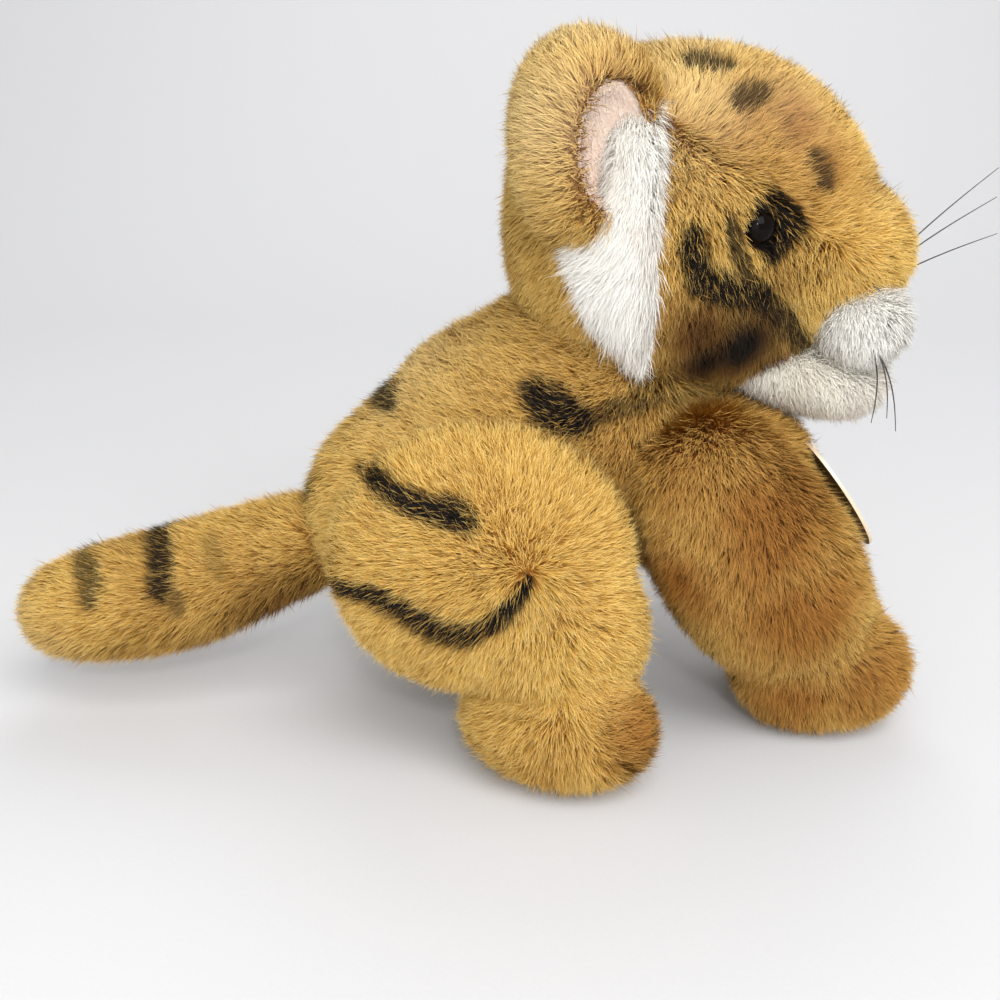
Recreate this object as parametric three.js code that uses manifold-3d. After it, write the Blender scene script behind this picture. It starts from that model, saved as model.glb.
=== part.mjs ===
// A sitting plush tiger: sewn skins of pile cloth round loose filling, with two ears, four legs,
// a tail, glossy eyes on posts, white cheek ruffs, whiskers and a hang tag on its chest.
// Millimetres, +Z up. The toy looks along +X and its right side is on -Y. It stands on z = 0.
import * as THREE from "three";
import { mergeVertices } from "three/addons/utils/BufferGeometryUtils.js";
import Module from "manifold-3d";

const wasm = await Module();
wasm.setup();

// Driving dimensions shared by the whole toy
const plush_wall = 5;
const gap = 0.3;
const seam_gap = 0.8;
const sole_cut = 0.5;
const overrun = 500;

// Torso: the line through its middle, from the rump to the neck, and its half sizes there
const rump_back = -78;
const rump_up = 70;
const waist_back = -46;
const waist_up = 75;
const waist_half_wide = 40;
const waist_half_deep = 47;
const ribs_back = -13;
const ribs_up = 86;
const ribs_half_wide = 45;
const ribs_half_deep = 53;
const shoulders_forward = 13;
const shoulders_up = 108;
const shoulders_half_wide = 44;
const shoulders_half_deep = 50;
const neck_forward = 33;
const neck_up = 137;
const neck_half_wide = 40;
const neck_half_deep = 43;
const neck_beyond = 22;
const neck_lean_deg = 27;
const torso_roundness = 2.4;

// Chest, the part of the torso under the chin
const chest_forward = 60;
const chest_up = 88;
const chest_half_long = 41;
const chest_half_wide = 42;
const chest_half_tall = 33;

// Belly panel: the height of its seam at the rump and how much that rises to the chest
const belly_seam_up = 42;
const belly_seam_rise_deg = 10;

// Head: half sizes at the cheeks, the brow and the face, along a line that runs forward
const head_above_neck = 45;
const head_back = 61;
const head_front = 62;
const head_half_tall = 57;
const cheek_half_wide = 54;
const brow_half_wide = 36;
const brow_half_tall = 54.5;
const face_half_tall = 47;
const head_roundness = 2.3;

// Snout, the golden bridge of the nose, and the white lobes and chin under it
const snout_forward = 38;
const snout_down = 9;
const snout_half_long = 38;
const snout_half_wide = 26;
const snout_half_tall = 27;
const lobe_forward = 54;
const lobe_down = 30;
const lobe_out = 13.5;
const lobe_half_long = 20;
const lobe_half_wide = 19.5;
const lobe_half_tall = 17;
const chin_back_forward = 4;
const chin_back_above_jaw = 14;
const chin_back_half_wide = 20;
const chin_back_half_tall = 9;
const chin_front_forward = 70;
const chin_front_above_jaw = 1.5;
const chin_front_half_wide = 26;
const chin_front_half_tall = 15;
const chin_roundness = 2.4;

// Nose pad on the front of the snout
const nose_half_wide = 7;
const nose_tall = 8;
const nose_thick = 2.2;
const nose_down = 24;

// Ears: a lined cup each
const ear_back = 36;
const ear_up = 29;
const ear_out = 43;
const ear_half_deep = 19;
const ear_half_wide = 24.5;
const ear_half_tall = 31.5;
const ear_mouth = 5;
const ear_facing_deg = 52;
const ear_wall = 4;
const lining_thick = 1.5;
const ear_fold_deg = 10;
const ear_hinge_out = 26;
const ear_hinge_back = 30;

// Ruffs: a strip of long white pile along the back edge of each cheek, with a tuft that points back
const ruff_thick = 7;
const ruff_edge_back = 17.5;
const ruff_top_up = 41;
const ruff_top_wide = 14;
const ruff_narrow_up = 18;
const ruff_narrow_wide = 18;
const ruff_tuft_down = 4;
const ruff_tuft_wide = 34;
const ruff_fan_down = 25;
const ruff_fan_wide = 24;
const ruff_point_down = 41;
const ruff_point_wide = 3;

// Eyes: a dome on a post, held by a washer inside the head
const eye_forward = 19.7;
const eye_up = 3.4;
const eye_radius = 5.2;
const eye_dome = 4;
const eye_sunk = 2;
const eye_post_radius = 1.4;
const eye_post_past_washer = 2.5;
const washer_radius = 6.5;
const washer_thick = 1.2;
const pin_clearance = 0.4;

// Whiskers: stiff filaments from one root on each side of the muzzle
const whisker_root_radius = 1.3;
const whisker_root_long = 5;
const whisker_half_thick = 0.3;
const whisker_down = 28;
const drooping_whisker_forward = 54;
const drooping_whisker_long = 36;
const raised_whisker_forward = 64;
const raised_whisker_long = 62;
// The way each side's filaments go, as shares forward, outward and up: one side droops, one is raised
const drooping_shares = [[0.1, 0.35, -0.93], [0.3, 0.35, -0.89], [0.36, 0.3, -0.88]];
const raised_shares = [[0.74, 0.36, 0.56], [0.82, 0.36, 0.45], [0.89, 0.36, 0.27]];
const whisker_bow_share = 0.12;

// Front legs: the line from the shoulder to the wrist, then the paw
const front_out = 31;
const shoulder_joint_forward = 58;
const shoulder_joint_up = 96;
const shoulder_above_joint = 22;
const elbow_forward = 82;
const elbow_up = 60;
const wrist_forward = 106;
const wrist_up = 23;
const arm_half_wide = 25;
const arm_top_half_deep = 29;
const arm_half_deep = 33;
const wrist_half_wide = 19;
const wrist_half_deep = 28;
const arm_roundness = 2.6;
const paw_forward = 104;
const paw_out = 20.5;
const paw_half_long = 32;
const paw_half_wide = 20;
const paw_half_tall = 24;
const front_swing_deg = 8;

// Hind legs: haunch, shin and foot
const haunch_forward = -16;
const haunch_up = 75;
const haunch_out = 51;
const haunch_half_long = 49;
const haunch_half_wide = 25;
const haunch_half_tall = 45;
const shin_forward = 8;
const shin_up = 52;
const shin_out = 55;
const shin_half_long = 30;
const shin_half_wide = 23;
const shin_half_tall = 32;
const foot_forward = 9;
const foot_out = 60;
const foot_half_long = 34;
const foot_half_wide = 22;
const foot_half_tall = 22.5;
const foot_toe_out_deg = 25;
const hind_swing_deg = 8;

// Tail: the line from its root to its end
const tail_root_inside = 16;
const tail_root_up = 63;
const tail_middle_back = -128;
const tail_middle_up = 45;
const tail_end_back = -185;
const tail_end_up = 33;
const tail_root_radius = 17.5;
const tail_middle_radius = 22;
const tail_end_radius = 23;
const tail_roundness = 3;
const tail_swing_deg = 15;
const tail_hinge_inside = 12;

// Hang tag: an oval card on a barbed pin
const tag_long = 46;
const tag_wide = 34;
const tag_thick = 0.8;
const tag_hole_radius = 1.5;
const tag_hole_from_edge = 4.5;
const tag_out = 8;
const tag_stand = 3.4;
const pin_radius = 0.6;
const pin_head_radius = 2.4;
const pin_head_thick = 0.8;
const pin_bar_long = 8;
const pin_bar_radius = 0.9;

// How finely the round shapes are divided
const torso_sides = 16;
const torso_rings = 9;
const head_sides = 18;
const head_rings = 10;
const limb_sides = 10;
const limb_rings = 7;
const inner_sides = 8;
const inner_rings = 5;
const ear_sides = 10;
const ear_rings = 6;
const small_sides = 8;
const small_rings = 4;
const sweep_steps = 2;
const curve_points = 6;

const X = new THREE.Vector3(1, 0, 0);
const Y = new THREE.Vector3(0, 1, 0);
const Z = new THREE.Vector3(0, 0, 1);
const radians = THREE.MathUtils.degToRad;
const RIGHT = -1;
const LEFT = 1;
const place = (forward, out, up) => new THREE.Vector3(forward, out, up);
const neck = place(neck_forward, 0, neck_up);
const neck_axis = Z.clone().applyAxisAngle(Y, radians(neck_lean_deg));
const head_middle = neck.clone().addScaledVector(neck_axis, head_above_neck);

// A geometry as a solid that can be cut and joined
function solid(geometry) {
  const bare = geometry.clone();
  bare.deleteAttribute("normal");
  bare.deleteAttribute("uv");
  const merged = mergeVertices(bare);
  const mesh = new wasm.Mesh({
    numProp: 3,
    vertProperties: new Float32Array(merged.getAttribute("position").array),
    triVerts: new Uint32Array(merged.index.array),
  });
  return new wasm.Manifold(mesh);
}

const join = (...solids) => solids.reduce((whole, added) => whole.add(added));
const cut = (whole, ...tools) => tools.flat().reduce((rest, tool) => rest.subtract(tool), whole);

// A finished piece as a named mesh with its own material
function piece(name, shape, colour, roughness, metalness = 0) {
  const made = shape.getMesh();
  const geometry = new THREE.BufferGeometry();
  geometry.setAttribute("position", new THREE.BufferAttribute(made.vertProperties, 3));
  geometry.setIndex(new THREE.BufferAttribute(made.triVerts, 1));
  geometry.computeVertexNormals();
  const material = new THREE.MeshStandardMaterial({ color: colour, roughness, metalness });
  const mesh = new THREE.Mesh(geometry, material);
  mesh.name = name;
  return mesh;
}

// An ellipsoid about a middle, turned about the upright axis, made smaller all round by inset
function ellipsoid(middle, half, inset = 0, turn = 0, sides = limb_sides, rings = limb_rings) {
  const ball = new THREE.SphereGeometry(1, sides, rings).rotateX(Math.PI / 2);
  ball.scale(half.x - inset, half.y - inset, half.z - inset).rotateZ(turn);
  return ball.translate(middle.x, middle.y, middle.z);
}

// A body that swells and tapers along a line: widths and depths are its half sizes at the points
function swelling(points, widths, depths, roundness, inset, sides = limb_sides, rings = limb_rings) {
  const line = new THREE.CatmullRomCurve3(points, false, "centripetal");
  const pairs = widths.map((wide, i) => place(wide, depths[i], 0));
  const sizes = new THREE.CatmullRomCurve3(pairs, false, "catmullrom");
  const positions = [];
  for (let ring = 0; ring <= rings; ring += 1) {
    const along = (1 - Math.cos((Math.PI * ring) / rings)) / 2;
    const cap = (1 - Math.abs(2 * along - 1) ** roundness) ** (1 / roundness);
    const forward = line.getTangent(along);
    const middle = line.getPoint(along).addScaledVector(forward, inset * (1 - 2 * along));
    const across = Y.clone().addScaledVector(forward, -Y.dot(forward)).normalize();
    const deep = new THREE.Vector3().crossVectors(forward, across);
    const size = sizes.getPoint(along);
    for (let side = 0; side < sides; side += 1) {
      const angle = (2 * Math.PI * side) / sides;
      const point = middle.clone();
      point.addScaledVector(across, (size.x - inset) * cap * Math.cos(angle));
      point.addScaledVector(deep, (size.y - inset) * cap * Math.sin(angle));
      positions.push(point.x, point.y, point.z);
    }
  }
  return ringed(positions, sides, rings);
}

// Closes rings of points, whose first and last ring are each a single point, into a skin
function ringed(positions, sides, rings) {
  const faces = [];
  for (let ring = 0; ring < rings; ring += 1) {
    for (let side = 0; side < sides; side += 1) {
      const next = (side + 1) % sides;
      const [a, b] = [ring * sides + side, ring * sides + next];
      const [c, d] = [a + sides, b + sides];
      if (ring > 0) faces.push(a, b, d);
      if (ring < rings - 1) faces.push(a, d, c);
    }
  }
  const geometry = new THREE.BufferGeometry();
  geometry.setAttribute("position", new THREE.Float32BufferAttribute(positions, 3));
  geometry.setIndex(faces);
  return geometry;
}

// Everything past a plane: a block whose near face holds the point and faces back along the direction
function beyond(point, direction) {
  const block = new THREE.BoxGeometry(overrun, overrun, overrun).translate(0, 0, overrun / 2);
  const turn = new THREE.Quaternion().setFromUnitVectors(Z, direction);
  return block.applyQuaternion(turn).translate(point.x, point.y, point.z);
}

// A round rod or hole from a point along a direction
function rod(from, direction, radius, long, sides = small_sides) {
  const straight = new THREE.CylinderGeometry(radius, radius, long, sides).translate(0, long / 2, 0);
  const turn = new THREE.Quaternion().setFromUnitVectors(Y, direction);
  return straight.applyQuaternion(turn).translate(from.x, from.y, from.z);
}

// The places that a shape takes, seen from a piece that swings on a hinge through its whole range
function swept(geometry, hinge) {
  const solids = [];
  for (let step = 0; step <= sweep_steps; step += 1) {
    const angle = radians(hinge.reach_deg) * ((2 * step) / sweep_steps - 1);
    const turned = geometry.clone().translate(-hinge.point.x, -hinge.point.y, -hinge.point.z);
    turned.applyQuaternion(new THREE.Quaternion().setFromAxisAngle(hinge.axis, angle));
    solids.push(solid(turned.translate(hinge.point.x, hinge.point.y, hinge.point.z)));
  }
  return solids;
}

// Where a line that comes in against a direction first meets a shape, and the face's direction there
function landing(shape, toward, direction) {
  const made = shape.getMesh();
  const geometry = new THREE.BufferGeometry();
  geometry.setAttribute("position", new THREE.BufferAttribute(made.vertProperties, 3));
  geometry.setIndex(new THREE.BufferAttribute(made.triVerts, 1));
  const from = toward.clone().addScaledVector(direction, overrun);
  const ray = new THREE.Raycaster(from, direction.clone().negate());
  const hit = ray.intersectObject(new THREE.Mesh(geometry, new THREE.MeshBasicMaterial()))[0];
  return { point: hit.point, normal: hit.face.normal.clone() };
}

// Torso

function barrel(inset, sides = torso_sides, rings = torso_rings) {
  const end = neck.clone().addScaledVector(neck_axis, neck_beyond);
  const points = [
    place(rump_back, 0, rump_up),
    place(waist_back, 0, waist_up),
    place(ribs_back, 0, ribs_up),
    place(shoulders_forward, 0, shoulders_up),
    neck,
    end,
  ];
  const widths = [waist_half_wide, waist_half_wide, ribs_half_wide, shoulders_half_wide];
  const depths = [waist_half_deep, waist_half_deep, ribs_half_deep, shoulders_half_deep];
  widths.push(neck_half_wide, neck_half_wide);
  depths.push(neck_half_deep, neck_half_deep);
  return swelling(points, widths, depths, torso_roundness, inset, sides, rings);
}

function chest(inset, sides = limb_sides, rings = limb_rings) {
  const middle = place(chest_forward, 0, chest_up);
  const half = place(chest_half_long, chest_half_wide, chest_half_tall);
  return ellipsoid(middle, half, inset, 0, sides, rings);
}

function torsoForm(inset, sides, rings) {
  return join(solid(barrel(inset, sides, rings)), solid(chest(inset, sides, rings)));
}

// What lies on the head's side of the neck seam, drawn back from the seam
function headSide(clear) {
  return beyond(neck.clone().addScaledVector(neck_axis, -clear), neck_axis);
}

function bodySide(clear) {
  return beyond(neck.clone().addScaledVector(neck_axis, clear), neck_axis.clone().negate());
}

function makeTorso() {
  const shell = cut(
    torsoForm(0),
    torsoForm(plush_wall, inner_sides, inner_rings),
    solid(headSide(gap / 2)),
    tagPinHole(),
  );
  const down = Z.clone().applyAxisAngle(Y, Math.PI - radians(belly_seam_rise_deg));
  const seam = place(rump_back, 0, belly_seam_up);
  const under = (clear) => solid(beyond(seam.clone().addScaledVector(down, clear), down));
  const filling = cut(
    torsoForm(plush_wall + gap, inner_sides, inner_rings),
    solid(headSide(gap / 2)),
    tagBarRoom(),
  );
  return [
    piece("torso_skin", cut(shell, under(0)), "#c8964b", 0.95),
    piece("belly_panel", shell.intersect(under(gap)), "#f1efe9", 0.95),
    piece("torso_stuffing", filling, "#f4f4f0", 1),
  ];
}

// What a limb must stay clear of as it swings: the torso, and the head past the neck seam
function torsoSweep(hinge) {
  const shapes = [barrel(-seam_gap), chest(-seam_gap), headSide(seam_gap)];
  return shapes.flatMap((shape) => swept(shape, hinge));
}

// Legs and tail: a skin and its filling, both open towards the torso

function limb(name, form, hinge, colour) {
  const around = torsoSweep(hinge);
  const skin = cut(form(0), form(plush_wall, inner_sides, inner_rings), around);
  const filling = cut(form(plush_wall + gap, inner_sides, inner_rings), around);
  const cover = piece(`${name}_skin`, skin, colour, 0.95);
  return [cover, piece(`${name}_stuffing`, filling, "#f4f4f0", 1)];
}

const floor = () => solid(beyond(place(0, 0, 0), Z.clone().negate()));

function frontLeg(name, side) {
  const out = side * front_out;
  const hinge = {
    point: place(shoulder_joint_forward, 0, shoulder_joint_up),
    axis: Y,
    reach_deg: front_swing_deg,
  };
  const top_forward = shoulder_joint_forward - shoulder_above_joint / 2;
  const points = [
    place(top_forward, out, shoulder_joint_up + shoulder_above_joint),
    place(shoulder_joint_forward, out, shoulder_joint_up),
    place(elbow_forward, out, elbow_up),
    place(wrist_forward, side * paw_out, wrist_up),
  ];
  const widths = [arm_half_wide, arm_half_wide, arm_half_wide, wrist_half_wide];
  const depths = [arm_top_half_deep, arm_top_half_deep, arm_half_deep, wrist_half_deep];
  const paw_middle = place(paw_forward, side * paw_out, paw_half_tall - sole_cut);
  const paw_half = place(paw_half_long, paw_half_wide, paw_half_tall);
  const form = (inset, sides, rings) =>
    cut(
      join(
        solid(swelling(points, widths, depths, arm_roundness, inset, sides, rings)),
        solid(ellipsoid(paw_middle, paw_half, inset, 0, sides, rings)),
      ),
      floor(),
    );
  return limb(name, form, hinge, "#b9803c");
}

function hindLeg(name, side) {
  const hinge = {
    point: place(haunch_forward, 0, haunch_up),
    axis: Y,
    reach_deg: hind_swing_deg,
  };
  const haunch = {
    middle: place(haunch_forward, side * haunch_out, haunch_up),
    half: place(haunch_half_long, haunch_half_wide, haunch_half_tall),
    turn: 0,
  };
  const shin = {
    middle: place(shin_forward, side * shin_out, shin_up),
    half: place(shin_half_long, shin_half_wide, shin_half_tall),
    turn: 0,
  };
  const foot = {
    middle: place(foot_forward, side * foot_out, foot_half_tall - sole_cut),
    half: place(foot_half_long, foot_half_wide, foot_half_tall),
    turn: side * radians(foot_toe_out_deg),
  };
  const form = (inset, sides, rings) => {
    const lumps = [haunch, shin, foot].map(({ middle, half, turn }) =>
      solid(ellipsoid(middle, half, inset, turn, sides, rings)),
    );
    return cut(join(...lumps), floor());
  };
  return limb(name, form, hinge, "#cf9a50");
}

function makeTail() {
  const hinge = {
    point: place(rump_back + tail_hinge_inside, 0, tail_root_up),
    axis: Z,
    reach_deg: tail_swing_deg,
  };
  const points = [
    place(rump_back + tail_root_inside, 0, tail_root_up),
    place(rump_back, 0, tail_root_up),
    place(tail_middle_back, 0, tail_middle_up),
    place(tail_end_back, 0, tail_end_up),
  ];
  const radii = [tail_root_radius, tail_root_radius, tail_middle_radius, tail_end_radius];
  const form = (inset, sides, rings) =>
    solid(swelling(points, radii, radii, tail_roundness, inset, sides, rings));
  return limb("tail", form, hinge, "#c08a45");
}

// Head

const fromHead = (forward, out, up) => place(head_middle.x + forward, out, head_middle.z + up);

function skull(inset, sides = head_sides, rings = head_rings) {
  const points = [fromHead(-head_back, 0, 0), fromHead(-head_back / 2, 0, 0), fromHead(0, 0, 0)];
  points.push(fromHead(head_front / 2, 0, 0), fromHead(head_front, 0, 0));
  const cheeks = [cheek_half_wide, cheek_half_wide, (cheek_half_wide + brow_half_wide) / 2];
  const talls = [head_half_tall, head_half_tall, head_half_tall, brow_half_tall, face_half_tall];
  const wides = [...cheeks, brow_half_wide, brow_half_wide];
  return swelling(points, wides, talls, head_roundness, inset, sides, rings);
}

function snout(inset, sides, rings) {
  const half = place(snout_half_long, snout_half_wide, snout_half_tall);
  return ellipsoid(fromHead(snout_forward, 0, -snout_down), half, inset, 0, sides, rings);
}

function headForm(inset, sides, rings) {
  return join(solid(skull(inset, sides, rings)), solid(snout(inset, sides, rings)));
}

function lobes(inset, sides = limb_sides, rings = limb_rings) {
  const half = place(lobe_half_long, lobe_half_wide, lobe_half_tall);
  const lobe = (side) => {
    const middle = fromHead(lobe_forward, side * lobe_out, -lobe_down);
    return solid(ellipsoid(middle, half, inset, 0, sides, rings));
  };
  return join(lobe(RIGHT), lobe(LEFT));
}

// The chin follows the jaw, down and forward
function chinForm(inset, sides = limb_sides, rings = limb_rings) {
  const back = fromHead(chin_back_forward, 0, chin_back_above_jaw - head_half_tall);
  const front = fromHead(chin_front_forward, 0, chin_front_above_jaw - head_half_tall);
  const points = [back, back.clone().lerp(front, 1 / 2), front];
  const widths = [chin_back_half_wide, chin_front_half_wide, chin_front_half_wide];
  const talls = [chin_back_half_tall, chin_front_half_tall, chin_front_half_tall];
  return solid(swelling(points, widths, talls, chin_roundness, inset, sides, rings));
}

// An eye's place: where it sits on the face, and its outward direction
function eyeSeat(side) {
  const spot = landing(solid(skull(0)), fromHead(eye_forward, 0, eye_up), place(0, side, 0));
  return { point: spot.point.addScaledVector(spot.normal, -eye_sunk), normal: spot.normal };
}

// Where the whiskers come out of a white lobe
function whiskerSeat(side) {
  const forward = side === RIGHT ? drooping_whisker_forward : raised_whisker_forward;
  return landing(lobes(0), fromHead(forward, 0, -whisker_down), place(0, side, 0));
}

// A glossy dome and the post that holds it, turned about the eye's outward direction
function makeEye(side) {
  const { point, normal } = eyeSeat(side);
  const post_end = -(plush_wall + washer_thick + eye_post_past_washer);
  const profile = [new THREE.Vector2(0, post_end), new THREE.Vector2(eye_post_radius, post_end)];
  profile.push(new THREE.Vector2(eye_post_radius, gap));
  for (let step = 0; step <= small_rings; step += 1) {
    const angle = (Math.PI / 2) * (step / small_rings);
    const radius = step < small_rings ? eye_radius * Math.cos(angle) : 0;
    profile.push(new THREE.Vector2(radius, gap + eye_dome * Math.sin(angle)));
  }
  const dome = new THREE.LatheGeometry(profile, limb_sides);
  const turn = new THREE.Quaternion().setFromUnitVectors(Y, normal);
  return solid(dome.applyQuaternion(turn).translate(point.x, point.y, point.z));
}

// The washer lies against the inside of the skin, which is a wall's thickness behind the dome's seat
function washerPlace(side) {
  const { point, normal } = eyeSeat(side);
  const inward = normal.clone().negate();
  return { inward, point: point.clone().addScaledVector(inward, plush_wall - eye_sunk + gap) };
}

function makeWasher(side) {
  const { point, inward } = washerPlace(side);
  const hole_from = point.clone().addScaledVector(inward, -washer_thick);
  const hole = rod(hole_from, inward, eye_post_radius + pin_clearance, 3 * washer_thick);
  return cut(solid(rod(point, inward, washer_radius, washer_thick, limb_sides)), solid(hole));
}

// The room that an eye and its washer take in the skin and in the filling
function eyeRoom(side) {
  const { point, normal } = eyeSeat(side);
  const inward = normal.clone().negate();
  const pocket = rod(point, normal, eye_radius + pin_clearance, overrun, limb_sides);
  const start = point.clone().addScaledVector(normal, gap);
  const long = plush_wall + washer_thick + eye_post_past_washer + 3 * gap;
  return [solid(pocket), solid(rod(start, inward, eye_post_radius + pin_clearance, long))];
}

function washerRoom(side) {
  const { point, inward } = washerPlace(side);
  const start = point.clone().addScaledVector(inward, -2 * plush_wall);
  return solid(rod(start, inward, washer_radius + gap, 2 * plush_wall + washer_thick + gap, limb_sides));
}

function makeHead() {
  const inside = headForm(plush_wall, inner_sides, inner_rings);
  const lobes_inside = lobes(plush_wall, inner_sides, inner_rings);
  const chin_inside = chinForm(plush_wall, inner_sides, inner_rings);
  const below = solid(bodySide(gap / 2));
  const washers = [washerRoom(RIGHT), washerRoom(LEFT)];
  const eyes = [eyeRoom(RIGHT), eyeRoom(LEFT)].flat();
  const whiskers = [whiskerRoom(RIGHT), whiskerRoom(LEFT)];
  const skin = cut(headForm(0), inside, below, lobes(-gap), chinForm(-gap), eyes, washers);
  const hem = headForm(plush_wall / 2);
  const upper = cut(lobes(0), lobes_inside, hem, below, whiskers);
  const lower = cut(chinForm(0), chin_inside, hem, lobes(-gap), below);
  const fill = plush_wall + gap;
  const filling = cut(
    join(
      headForm(fill, inner_sides, inner_rings),
      lobes(fill, inner_sides, inner_rings),
      cut(chinForm(fill, inner_sides, inner_rings), lobes(-gap)),
    ),
    below,
    washers,
    eyes,
    whiskers,
  );
  return [
    piece("head_skin", skin, "#c9974c", 0.95),
    piece("muzzle_skin", upper, "#f4f2ee", 0.95),
    piece("chin_skin", lower, "#f4f2ee", 0.95),
    piece("head_stuffing", filling, "#f4f4f0", 1),
  ];
}

// A rounded triangle of stitched cloth on the tip of the snout
function makeNose() {
  const shape = new THREE.Shape();
  shape.moveTo(0, -nose_tall / 2);
  shape.quadraticCurveTo(nose_half_wide, -nose_tall / 2, nose_half_wide, nose_tall / 4);
  shape.quadraticCurveTo(nose_half_wide, nose_tall / 2, 0, nose_tall / 2);
  shape.quadraticCurveTo(-nose_half_wide, nose_tall / 2, -nose_half_wide, nose_tall / 4);
  shape.quadraticCurveTo(-nose_half_wide, -nose_tall / 2, 0, -nose_tall / 2);
  const bevel = nose_thick / 4;
  const pad = new THREE.ExtrudeGeometry(shape, {
    depth: plush_wall + nose_thick - bevel,
    bevelThickness: bevel,
    bevelSize: bevel,
    bevelOffset: -bevel,
    bevelSegments: 2,
    curveSegments: small_rings,
  });
  pad.rotateY(Math.PI / 2).rotateX(Math.PI / 2);
  const face = join(headForm(0), lobes(0));
  const tip = landing(face, fromHead(0, 0, -nose_down), X).point;
  pad.translate(tip.x - plush_wall, 0, tip.z);
  return cut(solid(pad), headForm(-gap), lobes(-gap));
}

function whiskerRoom(side) {
  const { point, normal } = whiskerSeat(side);
  const start = point.clone().addScaledVector(normal, whisker_root_long);
  const radius = whisker_root_radius + gap;
  return solid(rod(start, normal.clone().negate(), radius, 3 * whisker_root_long));
}

// Filaments fan out of one root and bow outwards a little
function makeWhiskers(side) {
  const { point, normal } = whiskerSeat(side);
  const root_end = point.clone().addScaledVector(normal, -whisker_root_long);
  const root = solid(rod(root_end, normal, whisker_root_radius, whisker_root_long + gap));
  const [ways, long] =
    side === RIGHT ? [drooping_shares, drooping_whisker_long] : [raised_shares, raised_whisker_long];
  const thick = whisker_half_thick;
  const section = new THREE.Shape();
  section.moveTo(thick, 0);
  section.lineTo(0, thick);
  section.lineTo(-thick, 0);
  section.lineTo(0, -thick);
  const filaments = ways.map(([forward, out, up]) => {
    const far = point.clone().addScaledVector(place(forward, side * out, up), long);
    const half_way = point.clone().lerp(far, 1 / 2).addScaledVector(normal, whisker_bow_share * long);
    const start = point.clone().addScaledVector(normal, -whisker_root_radius);
    const mouth = point.clone().addScaledVector(normal, whisker_root_radius);
    const line = new THREE.CatmullRomCurve3([start, mouth, half_way, far]);
    return solid(new THREE.ExtrudeGeometry(section, { extrudePath: line, steps: small_rings }));
  });
  return join(root, ...filaments);
}

// Ears

const earMiddle = (side) => fromHead(-ear_back, side * ear_out, ear_up);
const earFacing = (side) => X.clone().applyAxisAngle(Z, side * radians(ear_facing_deg));

function earShape(side, inset) {
  const half = place(ear_half_deep, ear_half_wide, ear_half_tall);
  const turn = side * radians(ear_facing_deg);
  return ellipsoid(earMiddle(side), half, inset, turn, ear_sides, ear_rings);
}

const earForm = (side, inset) => solid(earShape(side, inset));

// The line that an ear folds about, where it is sewn to the head
function earHinge(side) {
  return {
    point: fromHead(-ear_hinge_back, side * ear_hinge_out, 0),
    axis: Z,
    reach_deg: ear_fold_deg,
  };
}

function makeEar(name, side) {
  const facing = earFacing(side);
  const past = (depth) => solid(beyond(earMiddle(side).addScaledVector(facing, depth), facing));
  const head = [...swept(skull(-seam_gap), earHinge(side)), ...ruffSweep(side)];
  const back = cut(earForm(side, 0), earForm(side, ear_wall), past(ear_mouth), head);
  const outer = earForm(side, ear_wall + gap);
  const inner = earForm(side, ear_wall + gap + lining_thick);
  const lining = cut(outer, inner, past(ear_mouth - gap), head);
  const cover = piece(`${name}_back`, back, "#c9974c", 0.95);
  return [cover, piece(`${name}_lining`, lining, "#deb8aa", 0.9)];
}

// The outline of a ruff seen from the side, as a block through that side of the head
function ruffOutline(side, clear) {
  const front = head_middle.x - ruff_edge_back;
  const up = (above) => head_middle.z + above;
  const back = (wide) => front - wide - clear;
  const outline = new THREE.Shape();
  outline.moveTo(front + clear, up(-ruff_point_down - clear));
  outline.lineTo(front + clear, up(ruff_top_up + clear));
  outline.lineTo(back(ruff_top_wide), up(ruff_top_up + clear));
  outline.lineTo(back(ruff_narrow_wide), up(ruff_narrow_up));
  outline.lineTo(back(ruff_tuft_wide), up(-ruff_tuft_down));
  outline.lineTo(back(ruff_fan_wide), up(-ruff_fan_down));
  outline.lineTo(back(ruff_point_wide), up(-ruff_point_down - clear));
  const block = new THREE.ExtrudeGeometry(outline, { depth: overrun, bevelEnabled: false });
  block.rotateX(Math.PI / 2);
  return side === LEFT ? block.translate(0, overrun, 0) : block;
}

// A ruff follows the side of the head between the ear and the cheek
function makeRuff(side) {
  const strip = cut(solid(skull(-ruff_thick - gap)), solid(skull(-gap)), solid(bodySide(gap)));
  return strip.intersect(solid(ruffOutline(side, 0)));
}

// The places that a ruff takes, seen from the folding ear
function ruffSweep(side) {
  const around = swept(skull(-ruff_thick - seam_gap), earHinge(side));
  const blocks = swept(ruffOutline(side, seam_gap), earHinge(side));
  return blocks.map((block, step) => block.intersect(around[step]));
}

// Hang tag and its pin. The tag leans forward as far as the upper arms that it lies against.

const tag_lean = Math.atan2(elbow_forward - shoulder_joint_forward, shoulder_joint_up - elbow_up);
const tagAxis = X.clone().applyAxisAngle(Y, -tag_lean);

function tagSeat() {
  const middle = place(chest_forward, -tag_out, chest_up);
  return landing(solid(chest(0)), middle, X.clone().applyAxisAngle(Y, -tag_lean / 2)).point;
}

function tagPinHole() {
  const from = tagSeat().addScaledVector(tagAxis, plush_wall);
  return solid(rod(from, tagAxis.clone().negate(), pin_radius + gap, 3 * plush_wall));
}

// Room in the filling for the pin's end and its cross bar
function tagBarRoom() {
  const bar_from = tagSeat().addScaledVector(tagAxis, -2 * plush_wall);
  bar_from.y -= pin_bar_long / 2 + gap;
  const bar = solid(rod(bar_from, Y, pin_bar_radius + gap, pin_bar_long + 2 * gap));
  return join(bar, tagPinHole());
}

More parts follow.
